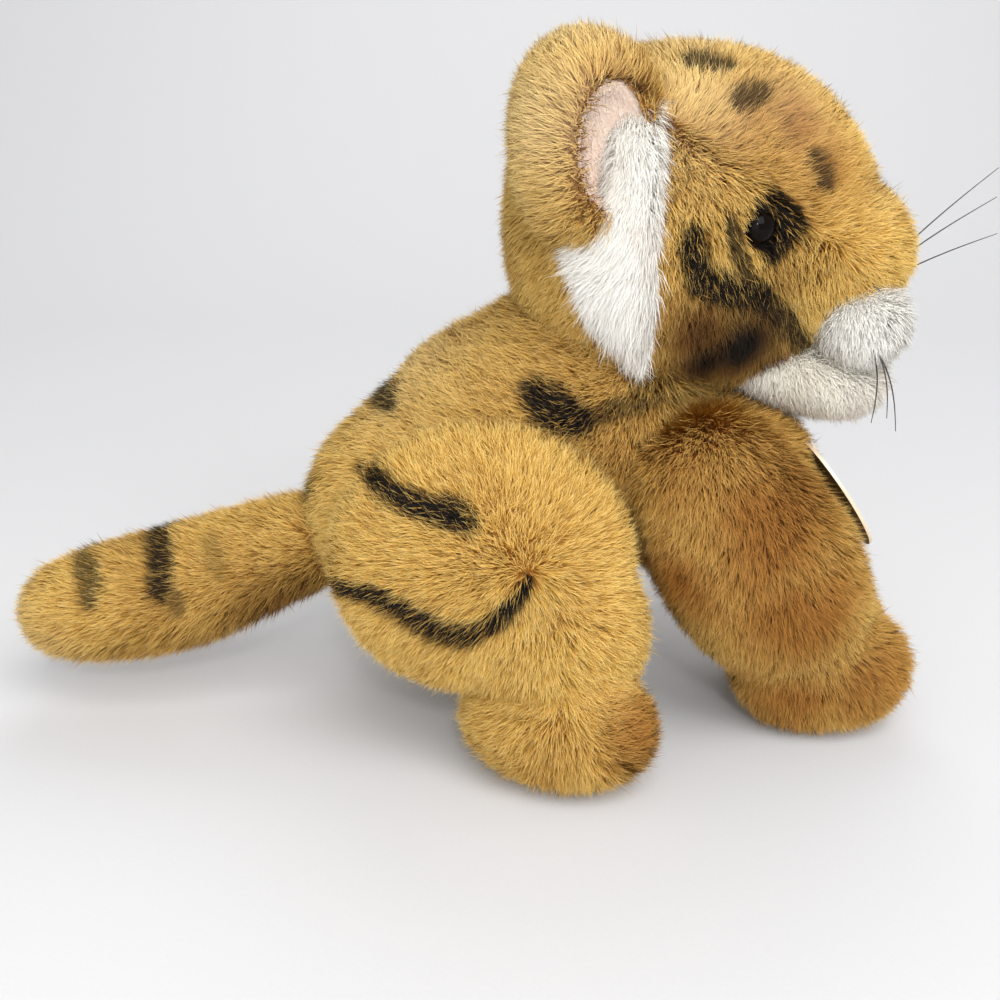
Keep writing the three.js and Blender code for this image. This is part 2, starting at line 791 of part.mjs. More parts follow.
function makeTagPin() {
  const seat = tagSeat();
  const outer = seat.clone().addScaledVector(tagAxis, tag_stand + tag_thick / 2 + gap);
  const inward = tagAxis.clone().negate();
  const shank_long = 2 * plush_wall + tag_stand + tag_thick / 2 + 2 * gap;
  const shank = solid(rod(outer.clone().addScaledVector(tagAxis, gap), inward, pin_radius, shank_long));
  const head = solid(rod(outer, tagAxis, pin_head_radius, pin_head_thick));
  const bar_from = seat.clone().addScaledVector(tagAxis, -2 * plush_wall);
  bar_from.y -= pin_bar_long / 2;
  return join(shank, head, solid(rod(bar_from, Y, pin_bar_radius, pin_bar_long)));
}

function makeTag() {
  const card = new THREE.Shape();
  card.absellipse(0, -(tag_long / 2 - tag_hole_from_edge), tag_wide / 2, tag_long / 2, 0, 2 * Math.PI);
  const hole = new THREE.Path();
  hole.absellipse(0, 0, tag_hole_radius, tag_hole_radius, 0, 2 * Math.PI);
  card.holes.push(hole);
  const sheet = new THREE.ExtrudeGeometry(card, {
    depth: tag_thick,
    bevelEnabled: false,
    curveSegments: curve_points,
  });
  sheet.translate(0, 0, -tag_thick / 2).rotateX(Math.PI / 2).rotateZ(Math.PI / 2);
  sheet.rotateY(-tag_lean);
  const middle = tagSeat().addScaledVector(tagAxis, tag_stand);
  return solid(sheet.translate(middle.x, middle.y, middle.z));
}

// The whole toy

function headGroup() {
  const head = new THREE.Group();
  head.add(...makeHead());
  head.add(piece("nose", makeNose(), "#3a2420", 0.6));
  const sides = [["right", RIGHT], ["left", LEFT]];
  for (const [name, side] of sides) {
    head.add(...makeEar(`${name}_ear`, side));
    head.add(piece(`${name}_cheek_ruff`, makeRuff(side), "#f7f6f2", 0.95));
    head.add(piece(`${name}_eye`, makeEye(side), "#0a0908", 0.08));
    head.add(piece(`${name}_eye_washer`, makeWasher(side), "#e9e7df", 0.5));
    head.add(piece(`${name}_whiskers`, makeWhiskers(side), "#151313", 0.35));
  }
  return head;
}

const toy = new THREE.Group();
toy.add(...makeTorso());
toy.add(headGroup());
toy.add(...frontLeg("right_front_leg", RIGHT), ...frontLeg("left_front_leg", LEFT));
toy.add(...hindLeg("right_hind_leg", RIGHT), ...hindLeg("left_hind_leg", LEFT));
toy.add(...makeTail());
toy.add(piece("hang_tag", makeTag(), "#c9a48c", 0.5));
toy.add(piece("tag_pin", makeTagPin(), "#e8e4dc", 0.4));

// The origin lies on the ground, under the middle of the toy's length
const ends = new THREE.Box3().setFromObject(toy, true);
toy.position.x = -(ends.min.x + ends.max.x) / 2;
const tiger = new THREE.Group();
tiger.add(toy);

export default tiger;
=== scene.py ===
"""A sitting plush tiger in combed pile cloth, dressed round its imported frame.

Sizes in the classes are millimetres in the toy's own axes: forward along +X, its left on +Y, up on
+Z. They become metres in the frame as a mesh is made. Places read off the photograph are pixels of
its 1000 x 1000 picture, and every marking lies where the camera's ray through them meets the cloth.
"""

import logging
import math
from dataclasses import dataclass, field, replace
from enum import Enum
from typing import Iterable, Sequence

import bmesh
import bpy
import numpy as np
from mathutils import Euler, Matrix, Vector, kdtree, noise
from mathutils.bvhtree import BVHTree


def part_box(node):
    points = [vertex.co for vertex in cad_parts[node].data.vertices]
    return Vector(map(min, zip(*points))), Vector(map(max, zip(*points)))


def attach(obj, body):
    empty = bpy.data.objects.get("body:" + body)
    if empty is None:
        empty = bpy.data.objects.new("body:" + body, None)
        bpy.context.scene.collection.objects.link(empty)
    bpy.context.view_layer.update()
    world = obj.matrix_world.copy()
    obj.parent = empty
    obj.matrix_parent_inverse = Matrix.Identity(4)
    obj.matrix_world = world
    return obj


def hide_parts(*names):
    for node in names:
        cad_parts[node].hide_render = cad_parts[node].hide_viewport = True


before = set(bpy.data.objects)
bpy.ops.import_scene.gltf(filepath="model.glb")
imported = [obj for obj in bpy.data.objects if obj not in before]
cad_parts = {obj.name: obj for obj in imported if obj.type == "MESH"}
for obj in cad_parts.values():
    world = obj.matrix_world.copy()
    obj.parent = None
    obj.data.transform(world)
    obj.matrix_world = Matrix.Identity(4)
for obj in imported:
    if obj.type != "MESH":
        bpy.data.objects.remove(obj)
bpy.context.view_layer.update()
LOG = logging.getLogger("plush_tiger")

MM = 0.001
TOY_FORWARD = 6.15
PICTURE = 1000
# The shades laid on the pile: russet is partly the cloth's redder colour and partly painted shade, cream
# partly its paler colour and partly a painted highlight, and dark the stripes and some painted shadows.
SHADES = ("russet_and_shade", "cream_and_highlight", "dark")
Triple = tuple[float, float, float]
Pixel = tuple[float, float]
HEAD = (53.43, 0.0, 177.1)
NECK = (33.0, 0.0, 137.0)
NECK_LEAN = math.radians(27)
NECK_AXIS = Vector((math.sin(NECK_LEAN), 0, math.cos(NECK_LEAN)))
SEAM_GAP = 0.3
OFF_FLOOR = 0.1
MERGE = 0.005
SHORT_STEP = 1e-3
NEARBY_SHARE = 1e-4
TINY = 1e-12
SWIRL_SEED = 7
FINE = 1.0


class Side(Enum):
    """The toy's right side lies on -Y and its left on +Y."""

    RIGHT = -1
    LEFT = 1

    @property
    def word(self) -> str:
        """The side's name as the frame's nodes spell it."""
        return self.name.lower()


def to_frame(places: Sequence[float] | np.ndarray) -> np.ndarray:
    """Turns millimetres in the toy's axes into metres in the frame."""
    return (np.asarray(places, float) + (TOY_FORWARD, 0, 0)) * MM


def to_toy(places: np.ndarray) -> np.ndarray:
    """Turns metres in the frame into millimetres in the toy's axes."""
    return places / MM - (TOY_FORWARD, 0, 0)


def on_head(forward: float, out: float, up: float) -> Triple:
    """Gives a place that is measured from the middle of the head."""
    return (HEAD[0] + forward, HEAD[1] + out, HEAD[2] + up)


def unit(ways: np.ndarray) -> np.ndarray:
    """Makes each row one long."""
    return ways / (np.linalg.norm(ways, axis=1, keepdims=True) + TINY)


def flat_on(normals: np.ndarray, ways: np.ndarray) -> np.ndarray:
    """Lays directions flat on a cloth whose own directions are the normals."""
    return ways - normals * (ways * normals).sum(axis=1, keepdims=True)


def mirrored(places: np.ndarray) -> np.ndarray:
    """Moves places on the left side to the same places on the right side."""
    return places * (1, -1, 1) * np.where(places[:, 1:2] > 0, 1, (1, -1, 1))


@dataclass(frozen=True)
class PhotoView:
    """The camera that took the photograph, in the frame's axes."""

    forward: float = -3.85
    away: float = 480.0
    up: float = 240.0
    pitch_deg: float = 18.6
    focal_px: float = 1412.0
    sensor: float = 36.0

    @property
    def eye(self) -> Vector:
        """The camera's place in metres."""
        return Vector((self.forward, -self.away, self.up)) * MM

    @property
    def turn(self) -> Euler:
        """The camera's turn: level is a quarter turn up from looking down."""
        return Euler((math.radians(90 - self.pitch_deg), 0, 0))

    def ray(self, pixel: Pixel) -> Vector:
        """Gives the direction in which the camera sees a pixel.

        Args:
            pixel: Right and down from the picture's upper left corner.
        Returns:
            A unit vector in the frame's axes.
        """
        half = PICTURE / 2
        way = Vector((pixel[0] - half, half - pixel[1], -self.focal_px))
        way.rotate(self.turn)
        return way.normalized()

    def set_up(self) -> None:
        """Makes the camera and hands it to the scene."""
        lens = bpy.data.cameras.new("photo_camera")
        lens.sensor_width = self.sensor
        lens.lens = self.sensor * self.focal_px / PICTURE
        lens.clip_start = MM
        camera = bpy.data.objects.new("photo_camera", lens)
        camera.location = self.eye
        camera.rotation_euler = self.turn
        bpy.context.scene.collection.objects.link(camera)
        bpy.context.scene.camera = camera


PHOTO = PhotoView()


class Flow:
    """A value that runs through a material's nodes. Python's operators add the Math nodes."""

    def __init__(self, shop: "NodeShop", socket: bpy.types.NodeSocket) -> None:
        """Wraps one output socket of a node."""
        self.shop = shop
        self.socket = socket

    def __add__(self, other: "Flow | float") -> "Flow":
        """Adds two values."""
        return self.shop.maths("ADD", self, other)

    def __sub__(self, other: "Flow | float") -> "Flow":
        """Takes a value from this one."""
        return self.shop.maths("SUBTRACT", self, other)

    def __rsub__(self, other: float) -> "Flow":
        """Takes this value from a number."""
        return self.shop.maths("SUBTRACT", other, self)

    def __mul__(self, other: "Flow | float") -> "Flow":
        """Multiplies two values."""
        return self.shop.maths("MULTIPLY", self, other)

    def __pow__(self, other: float) -> "Flow":
        """Raises this value to a power."""
        return self.shop.maths("POWER", self, other)

    __radd__ = __add__
    __rmul__ = __mul__


class NodeShop:
    """Makes one material, node by node."""

    def __init__(self, name: str) -> None:
        """Starts a material of this name with a shader and its output."""
        self.material = bpy.data.materials.new(name)
        self.material.use_nodes = True
        self.tree = self.material.node_tree
        self.shader = self.tree.nodes["Principled BSDF"]

    def node(self, kind: str, settings: dict | None = None, values: dict | None = None) -> bpy.types.Node:
        """Adds a node.

        Args:
            kind: The node's type.
            settings: What the node itself is set to, set first.
            values: What each input socket, by name or number, holds or is fed from.
        Returns:
            The new node.
        """
        made = self.tree.nodes.new(kind)
        for key, setting in (settings or {}).items():
            setattr(made, key, setting)
        for key, value in (values or {}).items():
            self.feed(made.inputs[key], value)
        return made

    def feed(self, socket: bpy.types.NodeSocket, value: "Flow | float | Sequence[float]") -> None:
        """Links a flow to an input socket, or sets the socket to a value."""
        if isinstance(value, Flow):
            self.tree.links.new(value.socket, socket)
        elif isinstance(value, (tuple, list)) and socket.type == "RGBA":
            socket.default_value = (*value, 1.0)
        else:
            socket.default_value = value

    def maths(self, operation: str, first: "Flow | float", second: "Flow | float") -> Flow:
        """Adds a Math node that works on two values and keeps the result."""
        made = self.node("ShaderNodeMath", {"operation": operation}, {0: first, 1: second})
        return Flow(self, made.outputs[0])

    def attribute(self, name: str) -> Flow:
        """Reads a number that each point of the piece carries."""
        made = self.node("ShaderNodeAttribute", {"attribute_name": name})
        return Flow(self, made.outputs["Fac"])

    def place(self) -> Flow:
        """Reads the place on the piece, in metres."""
        return Flow(self, self.node("ShaderNodeTexCoord").outputs["Object"])

    def cloud(self, size: float, detail: float = 3.0) -> Flow:
        """Adds soft noise whose lumps are about this many millimetres across."""
        values = {"Vector": self.place(), "Scale": 1 / (size * MM), "Detail": detail}
        return Flow(self, self.node("ShaderNodeTexNoise", None, values).outputs["Fac"])

    def blend(self, share: "Flow | float", first: "Flow | Triple", second: "Flow | Triple") -> Flow:
        """Mixes two colours by a share."""
        settings = {"data_type": "RGBA", "clamp_factor": True}
        made = self.node("ShaderNodeMix", settings, {0: share, 6: first, 7: second})
        return Flow(self, made.outputs[2])

    def scaled(self, colour: "Flow | Triple", share: "Flow | float") -> Flow:
        """Makes a colour brighter or darker by a share."""
        made = self.node("ShaderNodeVectorMath", {"operation": "SCALE"}, {0: colour, "Scale": share})
        return Flow(self, made.outputs[0])

    def raised(self, height: Flow, depth: float) -> Flow:
        """Turns a height into a bump of this many millimetres."""
        values = {"Height": height, "Distance": depth * MM, "Strength": 1.0}
        return Flow(self, self.node("ShaderNodeBump", None, values).outputs["Normal"])

    def dress(self, **values: "Flow | float | Sequence[float]") -> bpy.types.Material:
        """Feeds the shader's sockets, whose spaces are written as low lines, and hands over the material."""
        for key, value in values.items():
            self.feed(self.shader.inputs[key.replace("_", " ")], value)
        return self.material


@dataclass(frozen=True)
class PileFinish:
    """Acrylic pile: deep at the root, pale at the tip, each strand with a tone of its own. The deep root is
    partly the pile's own colour and partly painted shade between the strands; the pale end is partly the
    pile's paler tips and partly a painted highlight.
    """

    name: str
    root: Triple
    tip: Triple
    end: Triple
    russet_and_shade_root: Triple = (0.090, 0.022, 0.005)
    russet_and_shade_tip: Triple = (0.56, 0.25, 0.050)
    stripe_and_shadow_root: Triple = (0.005, 0.004, 0.003)
    stripe_and_shadow_tip: Triple = (0.026, 0.018, 0.012)
    cream_and_highlight: Triple = (0.88, 0.78, 0.50)
    end_slope: float = 3.0
    russet_and_shade_power: float = 1.4
    stripe_and_shadow_power: float = 2.5
    patch_size: float = 22.0
    patch_depth: float = 0.7
    least_tone: float = 0.72
    tone_range: float = 0.56
    roughness: float = 0.7
    specular: float = 0.12

    def material(self) -> bpy.types.Material:
        """Makes the pile's material."""
        shop = NodeShop(self.name)
        along = shop.attribute("along")
        tone = shop.attribute("tone")
        # Root to tip: the darker root is partly painted shade deep in the pile, and the pale end partly a
        # painted highlight on the tips.
        plain = shop.blend(along, self.root, self.tip)
        plain = shop.blend(along * self.end_slope - (self.end_slope - 1), plain, self.end)
        # The russet is partly the pile's redder colour and partly painted shade, as on the chest, the front
        # legs and the paws.
        russet_and_shade = shop.blend(along ** self.russet_and_shade_power, self.russet_and_shade_root, self.russet_and_shade_tip)
        patch = (shop.cloud(self.patch_size) - 0.5) * self.patch_depth
        colour = shop.blend(shop.attribute("russet_and_shade") + patch, plain, russet_and_shade)
        # The cream is partly the pile's paler colour, as on the chin and the tail's end, and partly a painted
        # highlight on the tops of the head, back and ears.
        colour = shop.blend(shop.attribute("cream_and_highlight"), colour, self.cream_and_highlight)
        # The dark colour is the stripes' black, and also painted shadow where a mark stands for one.
        stripe = shop.blend(along ** self.stripe_and_shadow_power, self.stripe_and_shadow_root, self.stripe_and_shadow_tip)
        colour = shop.scaled(colour, tone * self.tone_range + self.least_tone)
        colour = shop.blend(shop.attribute("dark"), colour, stripe)
        return shop.dress(Base_Color=colour, Roughness=self.roughness, Specular_IOR_Level=self.specular)


@dataclass(frozen=True)
class BackingFinish:
    """Knitted backing cloth that the pile is rooted in."""

    name: str
    deep: Triple
    light: Triple
    russet_and_shade: Triple = (0.15, 0.045, 0.010)
    cream_and_highlight: Triple = (0.70, 0.62, 0.44)
    stripe: Triple = (0.010, 0.008, 0.007)
    patch_size: float = 6.0
    patch_share: float = 0.6
    knit: float = 0.9
    knit_share: float = 0.5
    knit_depth: float = 0.25
    roughness: float = 0.95
    specular: float = 0.2

    def material(self) -> bpy.types.Material:
        """Makes the cloth's material."""
        shop = NodeShop(self.name)
        values = {"Vector": shop.place(), "Scale": 1 / (self.knit * MM)}
        loops = Flow(shop, shop.node("ShaderNodeTexVoronoi", None, values).outputs["Distance"])
        share = shop.cloud(self.patch_size) * self.patch_share + loops * self.knit_share
        colour = shop.blend(share, self.deep, self.light)
        # The backing takes the pile's shades, with the painted shade, painted highlight and painted shadows
        # that they partly carry.
        for shade, dye in (("russet_and_shade", self.russet_and_shade), ("cream_and_highlight", self.cream_and_highlight), ("dark", self.stripe)):
            colour = shop.blend(shop.attribute(shade), colour, dye)
        return shop.dress(
            Base_Color=colour,
            Roughness=self.roughness,
            Normal=shop.raised(loops, self.knit_depth),
            Specular_IOR_Level=self.specular,
        )


@dataclass(frozen=True)
class VelourFinish:
    """Short brushed cloth with a soft nap, as in the ears."""

    name: str
    deep: Triple
    light: Triple
    nap: float = 0.35
    nap_share: float = 0.45
    nap_depth: float = 0.12
    brushed: float = 9.0
    brushed_share: float = 0.6
    roughness: float = 0.9
    sheen: float = 0.4
    specular: float = 0.2

    def material(self) -> bpy.types.Material:
        """Makes the cloth's material."""
        shop = NodeShop(self.name)
        nap = shop.cloud(self.nap, 2.0)
        brushed = shop.cloud(self.brushed, 4.0)
        colour = shop.blend(nap * self.nap_share + brushed * self.brushed_share, self.deep, self.light)
        return shop.dress(
            Base_Color=colour,
            Roughness=self.roughness,
            Normal=shop.raised(nap, self.nap_depth),
            Sheen_Weight=self.sheen,
            Sheen_Roughness=self.sheen,
            Specular_IOR_Level=self.specular,
        )


@dataclass(frozen=True)
class GlossFinish:
    """Moulded or drawn plastic with faint handling marks."""

    name: str
    colour: Triple
    worn: Triple
    roughness: float
    specular: float = 0.5
    grain: float = 2.5
    smooth_share: float = 0.7
    worn_share: float = 0.6

    def material(self) -> bpy.types.Material:
        """Makes the plastic's material."""
        shop = NodeShop(self.name)
        marks = shop.cloud(self.grain, 4.0)
        colour = shop.blend(marks, self.colour, self.worn)
        rough = marks * (self.roughness * self.worn_share) + self.roughness * self.smooth_share
        return shop.dress(Base_Color=colour, Roughness=rough, Specular_IOR_Level=self.specular)


@dataclass(frozen=True)
class CardFinish:
    """Coated card: a plain face, a foil edge and a dark back, told apart by attributes of the faces."""

    name: str
    front: Triple = (0.78, 0.62, 0.48)
    edge: Triple = (0.90, 0.72, 0.52)
    back: Triple = (0.060, 0.030, 0.018)
    fibre: float = 0.8
    fibre_depth: float = 0.03
    least_tone: float = 0.85
    tone_range: float = 0.3
    foil_metal: float = 0.2
    least_roughness: float = 0.3
    roughness_range: float = 0.2

    def material(self) -> bpy.types.Material:
        """Makes the card's material."""
        shop = NodeShop(self.name)
        fibres = shop.cloud(self.fibre, 5.0)
        colour = shop.blend(shop.attribute("backside"), self.front, self.back)
        foil = shop.attribute("rim")
        colour = shop.blend(foil, colour, self.edge)
        return shop.dress(
            Base_Color=shop.scaled(colour, fibres * self.tone_range + self.least_tone),
            Metallic=foil * self.foil_metal,
            Roughness=fibres * self.roughness_range + self.least_roughness,
            Normal=shop.raised(fibres, self.fibre_depth),
        )


@dataclass(frozen=True)
class FloorFinish:
    """Seamless pale studio paper."""

    name: str = "studio_paper"
    colour: Triple = (0.72, 0.72, 0.73)
    tooth: float = 1.2
    tooth_depth: float = 0.05
    least_tone: float = 0.975
    tone_range: float = 0.05
    roughness: float = 0.9

    def material(self) -> bpy.types.Material:
        """Makes the paper's material."""
        shop = NodeShop(self.name)
        tooth = shop.cloud(self.tooth, 4.0)
        colour = shop.scaled(self.colour, tooth * self.tone_range + self.least_tone)
        normal = shop.raised(tooth, self.tooth_depth)
        return shop.dress(Base_Color=colour, Roughness=self.roughness, Normal=normal)


GOLDEN_PILE = PileFinish(
    "golden_pile",
    root=(0.30, 0.105, 0.012),
    tip=(0.84, 0.53, 0.115),
    end=(0.93, 0.72, 0.28),
)
WHITE_PILE = PileFinish(
    "white_pile",
    root=(0.86, 0.84, 0.78),
    tip=(0.94, 0.92, 0.86),
    end=(0.96, 0.94, 0.89),
    least_tone=0.92,
    tone_range=0.12,
)
PINK_NAP = PileFinish(
    "pink_nap",
    root=(0.88, 0.68, 0.56),
    tip=(0.95, 0.83, 0.72),
    end=(0.96, 0.88, 0.79),
    least_tone=0.92,
    tone_range=0.12,
)
GOLDEN_BACKING = BackingFinish("golden_backing", deep=(0.22, 0.08, 0.012), light=(0.42, 0.18, 0.032))
WHITE_BACKING = BackingFinish("white_backing", deep=(0.76, 0.74, 0.69), light=(0.90, 0.89, 0.85))
EAR_VELOUR = VelourFinish("ear_velour", deep=(0.84, 0.64, 0.53), light=(0.95, 0.82, 0.71))
NOSE_CLOTH = VelourFinish("nose_cloth", deep=(0.012, 0.008, 0.008), light=(0.06, 0.032, 0.028))
EYE_GLOSS = GlossFinish("eye_gloss", (0.003, 0.002, 0.002), (0.006, 0.004, 0.003), 0.03, specular=0.07)
WASHER_PLASTIC = GlossFinish("washer_plastic", (0.78, 0.77, 0.72), (0.68, 0.66, 0.61), 0.4)
PIN_PLASTIC = GlossFinish("pin_plastic", (0.80, 0.78, 0.72), (0.70, 0.68, 0.62), 0.3)
NYLON = GlossFinish("whisker_nylon", (0.008, 0.007, 0.007), (0.020, 0.017, 0.016), 0.28)
TAG_CARD = CardFinish("tag_card")

Finish = PileFinish | BackingFinish | VelourFinish | GlossFinish | CardFinish | FloorFinish


class Wardrobe:
    """Keeps one material for each finish."""

    def __init__(self) -> None:
        """Starts with no materials."""
        self.made: dict[str, bpy.types.Material] = {}

    def put_on(self, piece: bpy.types.Object, finish: Finish) -> None:
        """Gives a piece the material of a finish."""
        if finish.name not in self.made:
            self.made[finish.name] = finish.material()
        piece.data.materials.clear()
        piece.data.materials.append(self.made[finish.name])


WARDROBE = Wardrobe()


def curve_point(points: np.ndarray, share: float) -> np.ndarray:
    """Gives a point on a smooth line through points.

    Args:
        points: The line's points, one in each row.
        share: How far along, from 0 to 1, with equal shares between points.
    Returns:
        The point on a centripetal Catmull-Rom line.
    """
    last = len(points) - 1
    run = min(int(share * last), last - 1)
    local = share * last - run
    before = points[run - 1] if run > 0 else 2 * points[0] - points[1]
    after = points[run + 2] if run + 2 <= last else 2 * points[last] - points[last - 1]
    start, end = points[run], points[run + 1]
    steps = [float(np.linalg.norm(b - a)) ** 0.5 for a, b in ((before, start), (start, end), (end, after))]
    middle_step = steps[1] if steps[1] > SHORT_STEP else 1.0
    first = steps[0] if steps[0] > SHORT_STEP else middle_step
    third = steps[2] if steps[2] > SHORT_STEP else middle_step
    leave = (start - before) / first - (end - before) / (first + middle_step) + (end - start) / middle_step
    arrive = (end - start) / middle_step - (after - start) / (middle_step + third) + (after - end) / third
    leave, arrive = leave * middle_step, arrive * middle_step
    square = -3 * start + 3 * end - 2 * leave - arrive
    cube = 2 * start - 2 * end + leave + arrive
    return start + leave * local + square * local**2 + cube * local**3


@dataclass(frozen=True)
class Lump:
    """A round swelling."""

    middle: Triple
    half: Triple
    turn_deg: float = 0.0
    sides: int = 48
    rings: int = 32

    @property
    def turn(self) -> Matrix:
        """The lump's turn about the upright axis."""
        return Matrix.Rotation(math.radians(self.turn_deg), 4, "Z")

    def outside(self, places: np.ndarray) -> np.ndarray:
        """Says which places, in metres, lie outside the lump."""
        local = (places - to_frame(self.middle)) @ np.array(self.turn.to_3x3())
        return np.linalg.norm(local / (np.array(self.half) * MM), axis=1) > 1

    def add_to(self, mesh: bmesh.types.BMesh, inset: float) -> None:
        """Adds the lump to a mesh, drawn in all round by some millimetres."""
        size = Matrix.Diagonal([*((half - inset) * MM for half in self.half), 1])
        matrix = Matrix.Translation(to_frame(self.middle)) @ self.turn @ size
        sizes = {"u_segments": self.sides, "v_segments": self.rings, "radius": 1}
        bmesh.ops.create_uvsphere(mesh, matrix=matrix, **sizes)


@dataclass(frozen=True)
class Swell:
    """A form that swells and tapers along a line, with rounded ends."""

    points: tuple[Triple, ...]
    widths: tuple[float, ...]
    depths: tuple[float, ...]
    roundness: float
    sides: int = 64
    rings: int = 48

    def point(self, along: float, angle: float, inset: float) -> np.ndarray:
        """Gives a point of the form's skin in millimetres.

        Args:
            along: How far along the line, from 0 to 1.
            angle: The turn about the line, from the toy's left side.
            inset: How far the skin is drawn in.
        Returns:
            The point.
        """
        line = np.array(self.points)
        near = max(along - NEARBY_SHARE, 0.0)
        far = min(along + NEARBY_SHARE, 1.0)
        forward = curve_point(line, far) - curve_point(line, near)
        forward /= np.linalg.norm(forward)
        across = np.array((0.0, 1.0, 0.0)) - forward * forward[1]
        across /= np.linalg.norm(across)
        deep = np.cross(forward, across)
        cap = max(0.0, 1 - abs(2 * along - 1) ** self.roundness) ** (1 / self.roundness)
        sizes = np.stack([self.widths, self.depths], axis=1)
        wide, tall = (curve_point(sizes, along) - inset) * cap
        middle = curve_point(line, along) + forward * inset * (1 - 2 * along)
        return middle + across * wide * math.cos(angle) + deep * tall * math.sin(angle)

    def add_to(self, mesh: bmesh.types.BMesh, inset: float) -> None:
        """Adds the form to a mesh, drawn in all round by some millimetres."""
        ball = bmesh.ops.create_uvsphere(mesh, u_segments=self.sides, v_segments=self.rings, radius=1)
        for vertex in ball["verts"]:
            angle = math.atan2(vertex.co.y, vertex.co.x)
            vertex.co = to_frame(self.point((1 - vertex.co.z) / 2, angle, inset))


Form = Lump | Swell


def new_piece(name: str, mesh: bmesh.types.BMesh) -> bpy.types.Object:
    """Makes an object of a mesh, with its faces pointing out, and frees the mesh."""
    bmesh.ops.recalc_face_normals(mesh, faces=mesh.faces)
    data = bpy.data.meshes.new(name)
    mesh.to_mesh(data)
    mesh.free()
    data.shade_smooth()
    piece = bpy.data.objects.new(name, data)
    bpy.context.scene.collection.objects.link(piece)
    return piece


def settle(piece: bpy.types.Object) -> None:
    """Makes a piece's modifiers part of its mesh."""
    graph = bpy.context.evaluated_depsgraph_get()
    data = bpy.data.meshes.new_from_object(piece.evaluated_get(graph))
    old = piece.data
    piece.modifiers.clear()
    piece.data = data
    bpy.data.meshes.remove(old)
    data.name = piece.name


def discard(*pieces: bpy.types.Object) -> None:
    """Removes helper objects and their meshes."""
    for piece in pieces:
        bpy.data.meshes.remove(piece.data)


def softened(piece: bpy.types.Object, rounds: int) -> None:
    """Smooths a piece's mesh a number of times."""
    mesh = bmesh.new()
    mesh.from_mesh(piece.data)
    all_ways = {"use_axis_x": True, "use_axis_y": True, "use_axis_z": True}
    for _ in range(rounds):
        bmesh.ops.smooth_vert(mesh, verts=mesh.verts, factor=0.5, **all_ways)
    mesh.to_mesh(piece.data)
    mesh.free()


def divided_evenly(piece: bpy.types.Object, cell: float, rounds: int) -> None:
    """Melts a piece into one skin of squares of this size, and smooths it a number of times."""
    remesh = piece.modifiers.new("melt", "REMESH")
    remesh.mode = "VOXEL"
    remesh.voxel_size = cell * MM
    settle(piece)
    softened(piece, rounds)


def melted(name: str, forms: Iterable[Form], inset: float, cell: float, rounds: int) -> bpy.types.Object:
    """Melts forms into one closed, evenly divided skin.

    Args:
        name: The new piece's name.
        forms: The forms.
        inset: How far each form is drawn in.
        cell: The length of the skin's squares.
        rounds: How often the skin is smoothed.
    Returns:
        The new piece.
    """
    mesh = bmesh.new()
    for form in forms:
        form.add_to(mesh, inset)
    piece = new_piece(name, mesh)
    divided_evenly(piece, cell, rounds)
    piece.data.shade_smooth()
    return piece


def carved(piece: bpy.types.Object, *cutters: bpy.types.Object, operation: str = "DIFFERENCE") -> None:
    """Cuts a piece by others, or keeps what it shares with them."""
    for cutter in cutters:
        cut = piece.modifiers.new("cut", "BOOLEAN")
        cut.solver = "MANIFOLD"
        cut.operation = operation
        cut.object = cutter
        settle(piece)


def block_beyond(
    point: Sequence[float], direction: Vector, shift: float, long: float = 600.0
) -> bpy.types.Object:
    """Makes a big block whose near face lies past a point.

    Args:
        point: Millimetres in the toy's axes.
        direction: The way from the near face into the block.
        shift: How far the near face is moved into the block.
        long: The block's edge.
    Returns:
        The block.
    """
    mesh = bmesh.new()
    turn = Vector((0, 0, 1)).rotation_difference(direction).to_matrix().to_4x4()
    near = Vector(to_frame(point)) + direction * (shift * MM)
    matrix = Matrix.Translation(near) @ turn @ Matrix.Translation((0, 0, long * MM / 2))
    bmesh.ops.create_cube(mesh, size=long * MM, matrix=matrix)
    return new_piece("block", mesh)


def swollen(
    piece: bpy.types.Object, grow: float, hinge: "Hinge | None" = None, share: float = 0.0
) -> bpy.types.Object:
    """Copies a piece, grown all round, and turned about a hinge by a share of its reach."""
    mesh = bmesh.new()
    mesh.from_mesh(piece.data)
    mesh.normal_update()
    shifts = [vertex.normal * (grow * MM) for vertex in mesh.verts]
    for vertex, shift in zip(mesh.verts, shifts):
        vertex.co += shift
    if hinge is not None:
        bmesh.ops.transform(mesh, matrix=hinge.matrix(share), verts=mesh.verts)
    return new_piece(f"{piece.name}_room", mesh)


@dataclass(frozen=True)
class Hinge:
    """The line that a part turns about, and how far it turns each way."""

    point: Triple
    axis: str
    reach_deg: float

    def matrix(self, share: float) -> Matrix:
        """Gives the turn by a share of the reach."""
        there = Matrix.Translation(to_frame(self.point))
        return there @ Matrix.Rotation(math.radians(self.reach_deg) * share, 4, self.axis) @ there.inverted()


def kept_clear(
    piece: bpy.types.Object, body: bpy.types.Object, hinge: Hinge | None, grow: float = 1.2
) -> None:
    """Cuts a limb so that it stays clear of a body through its whole swing."""
    shares = (0.0,) if hinge is None else (-1.0, 0.0, 1.0)
    rooms = [swollen(body, grow, hinge, share) for share in shares]
    carved(piece, *rooms)
    discard(*rooms)


def tree_of(piece: bpy.types.Object) -> BVHTree:
    """Makes a search tree of a piece's faces."""
    mesh = bmesh.new()
    mesh.from_mesh(piece.data)
    tree = BVHTree.FromBMesh(mesh)
    mesh.free()
    return tree


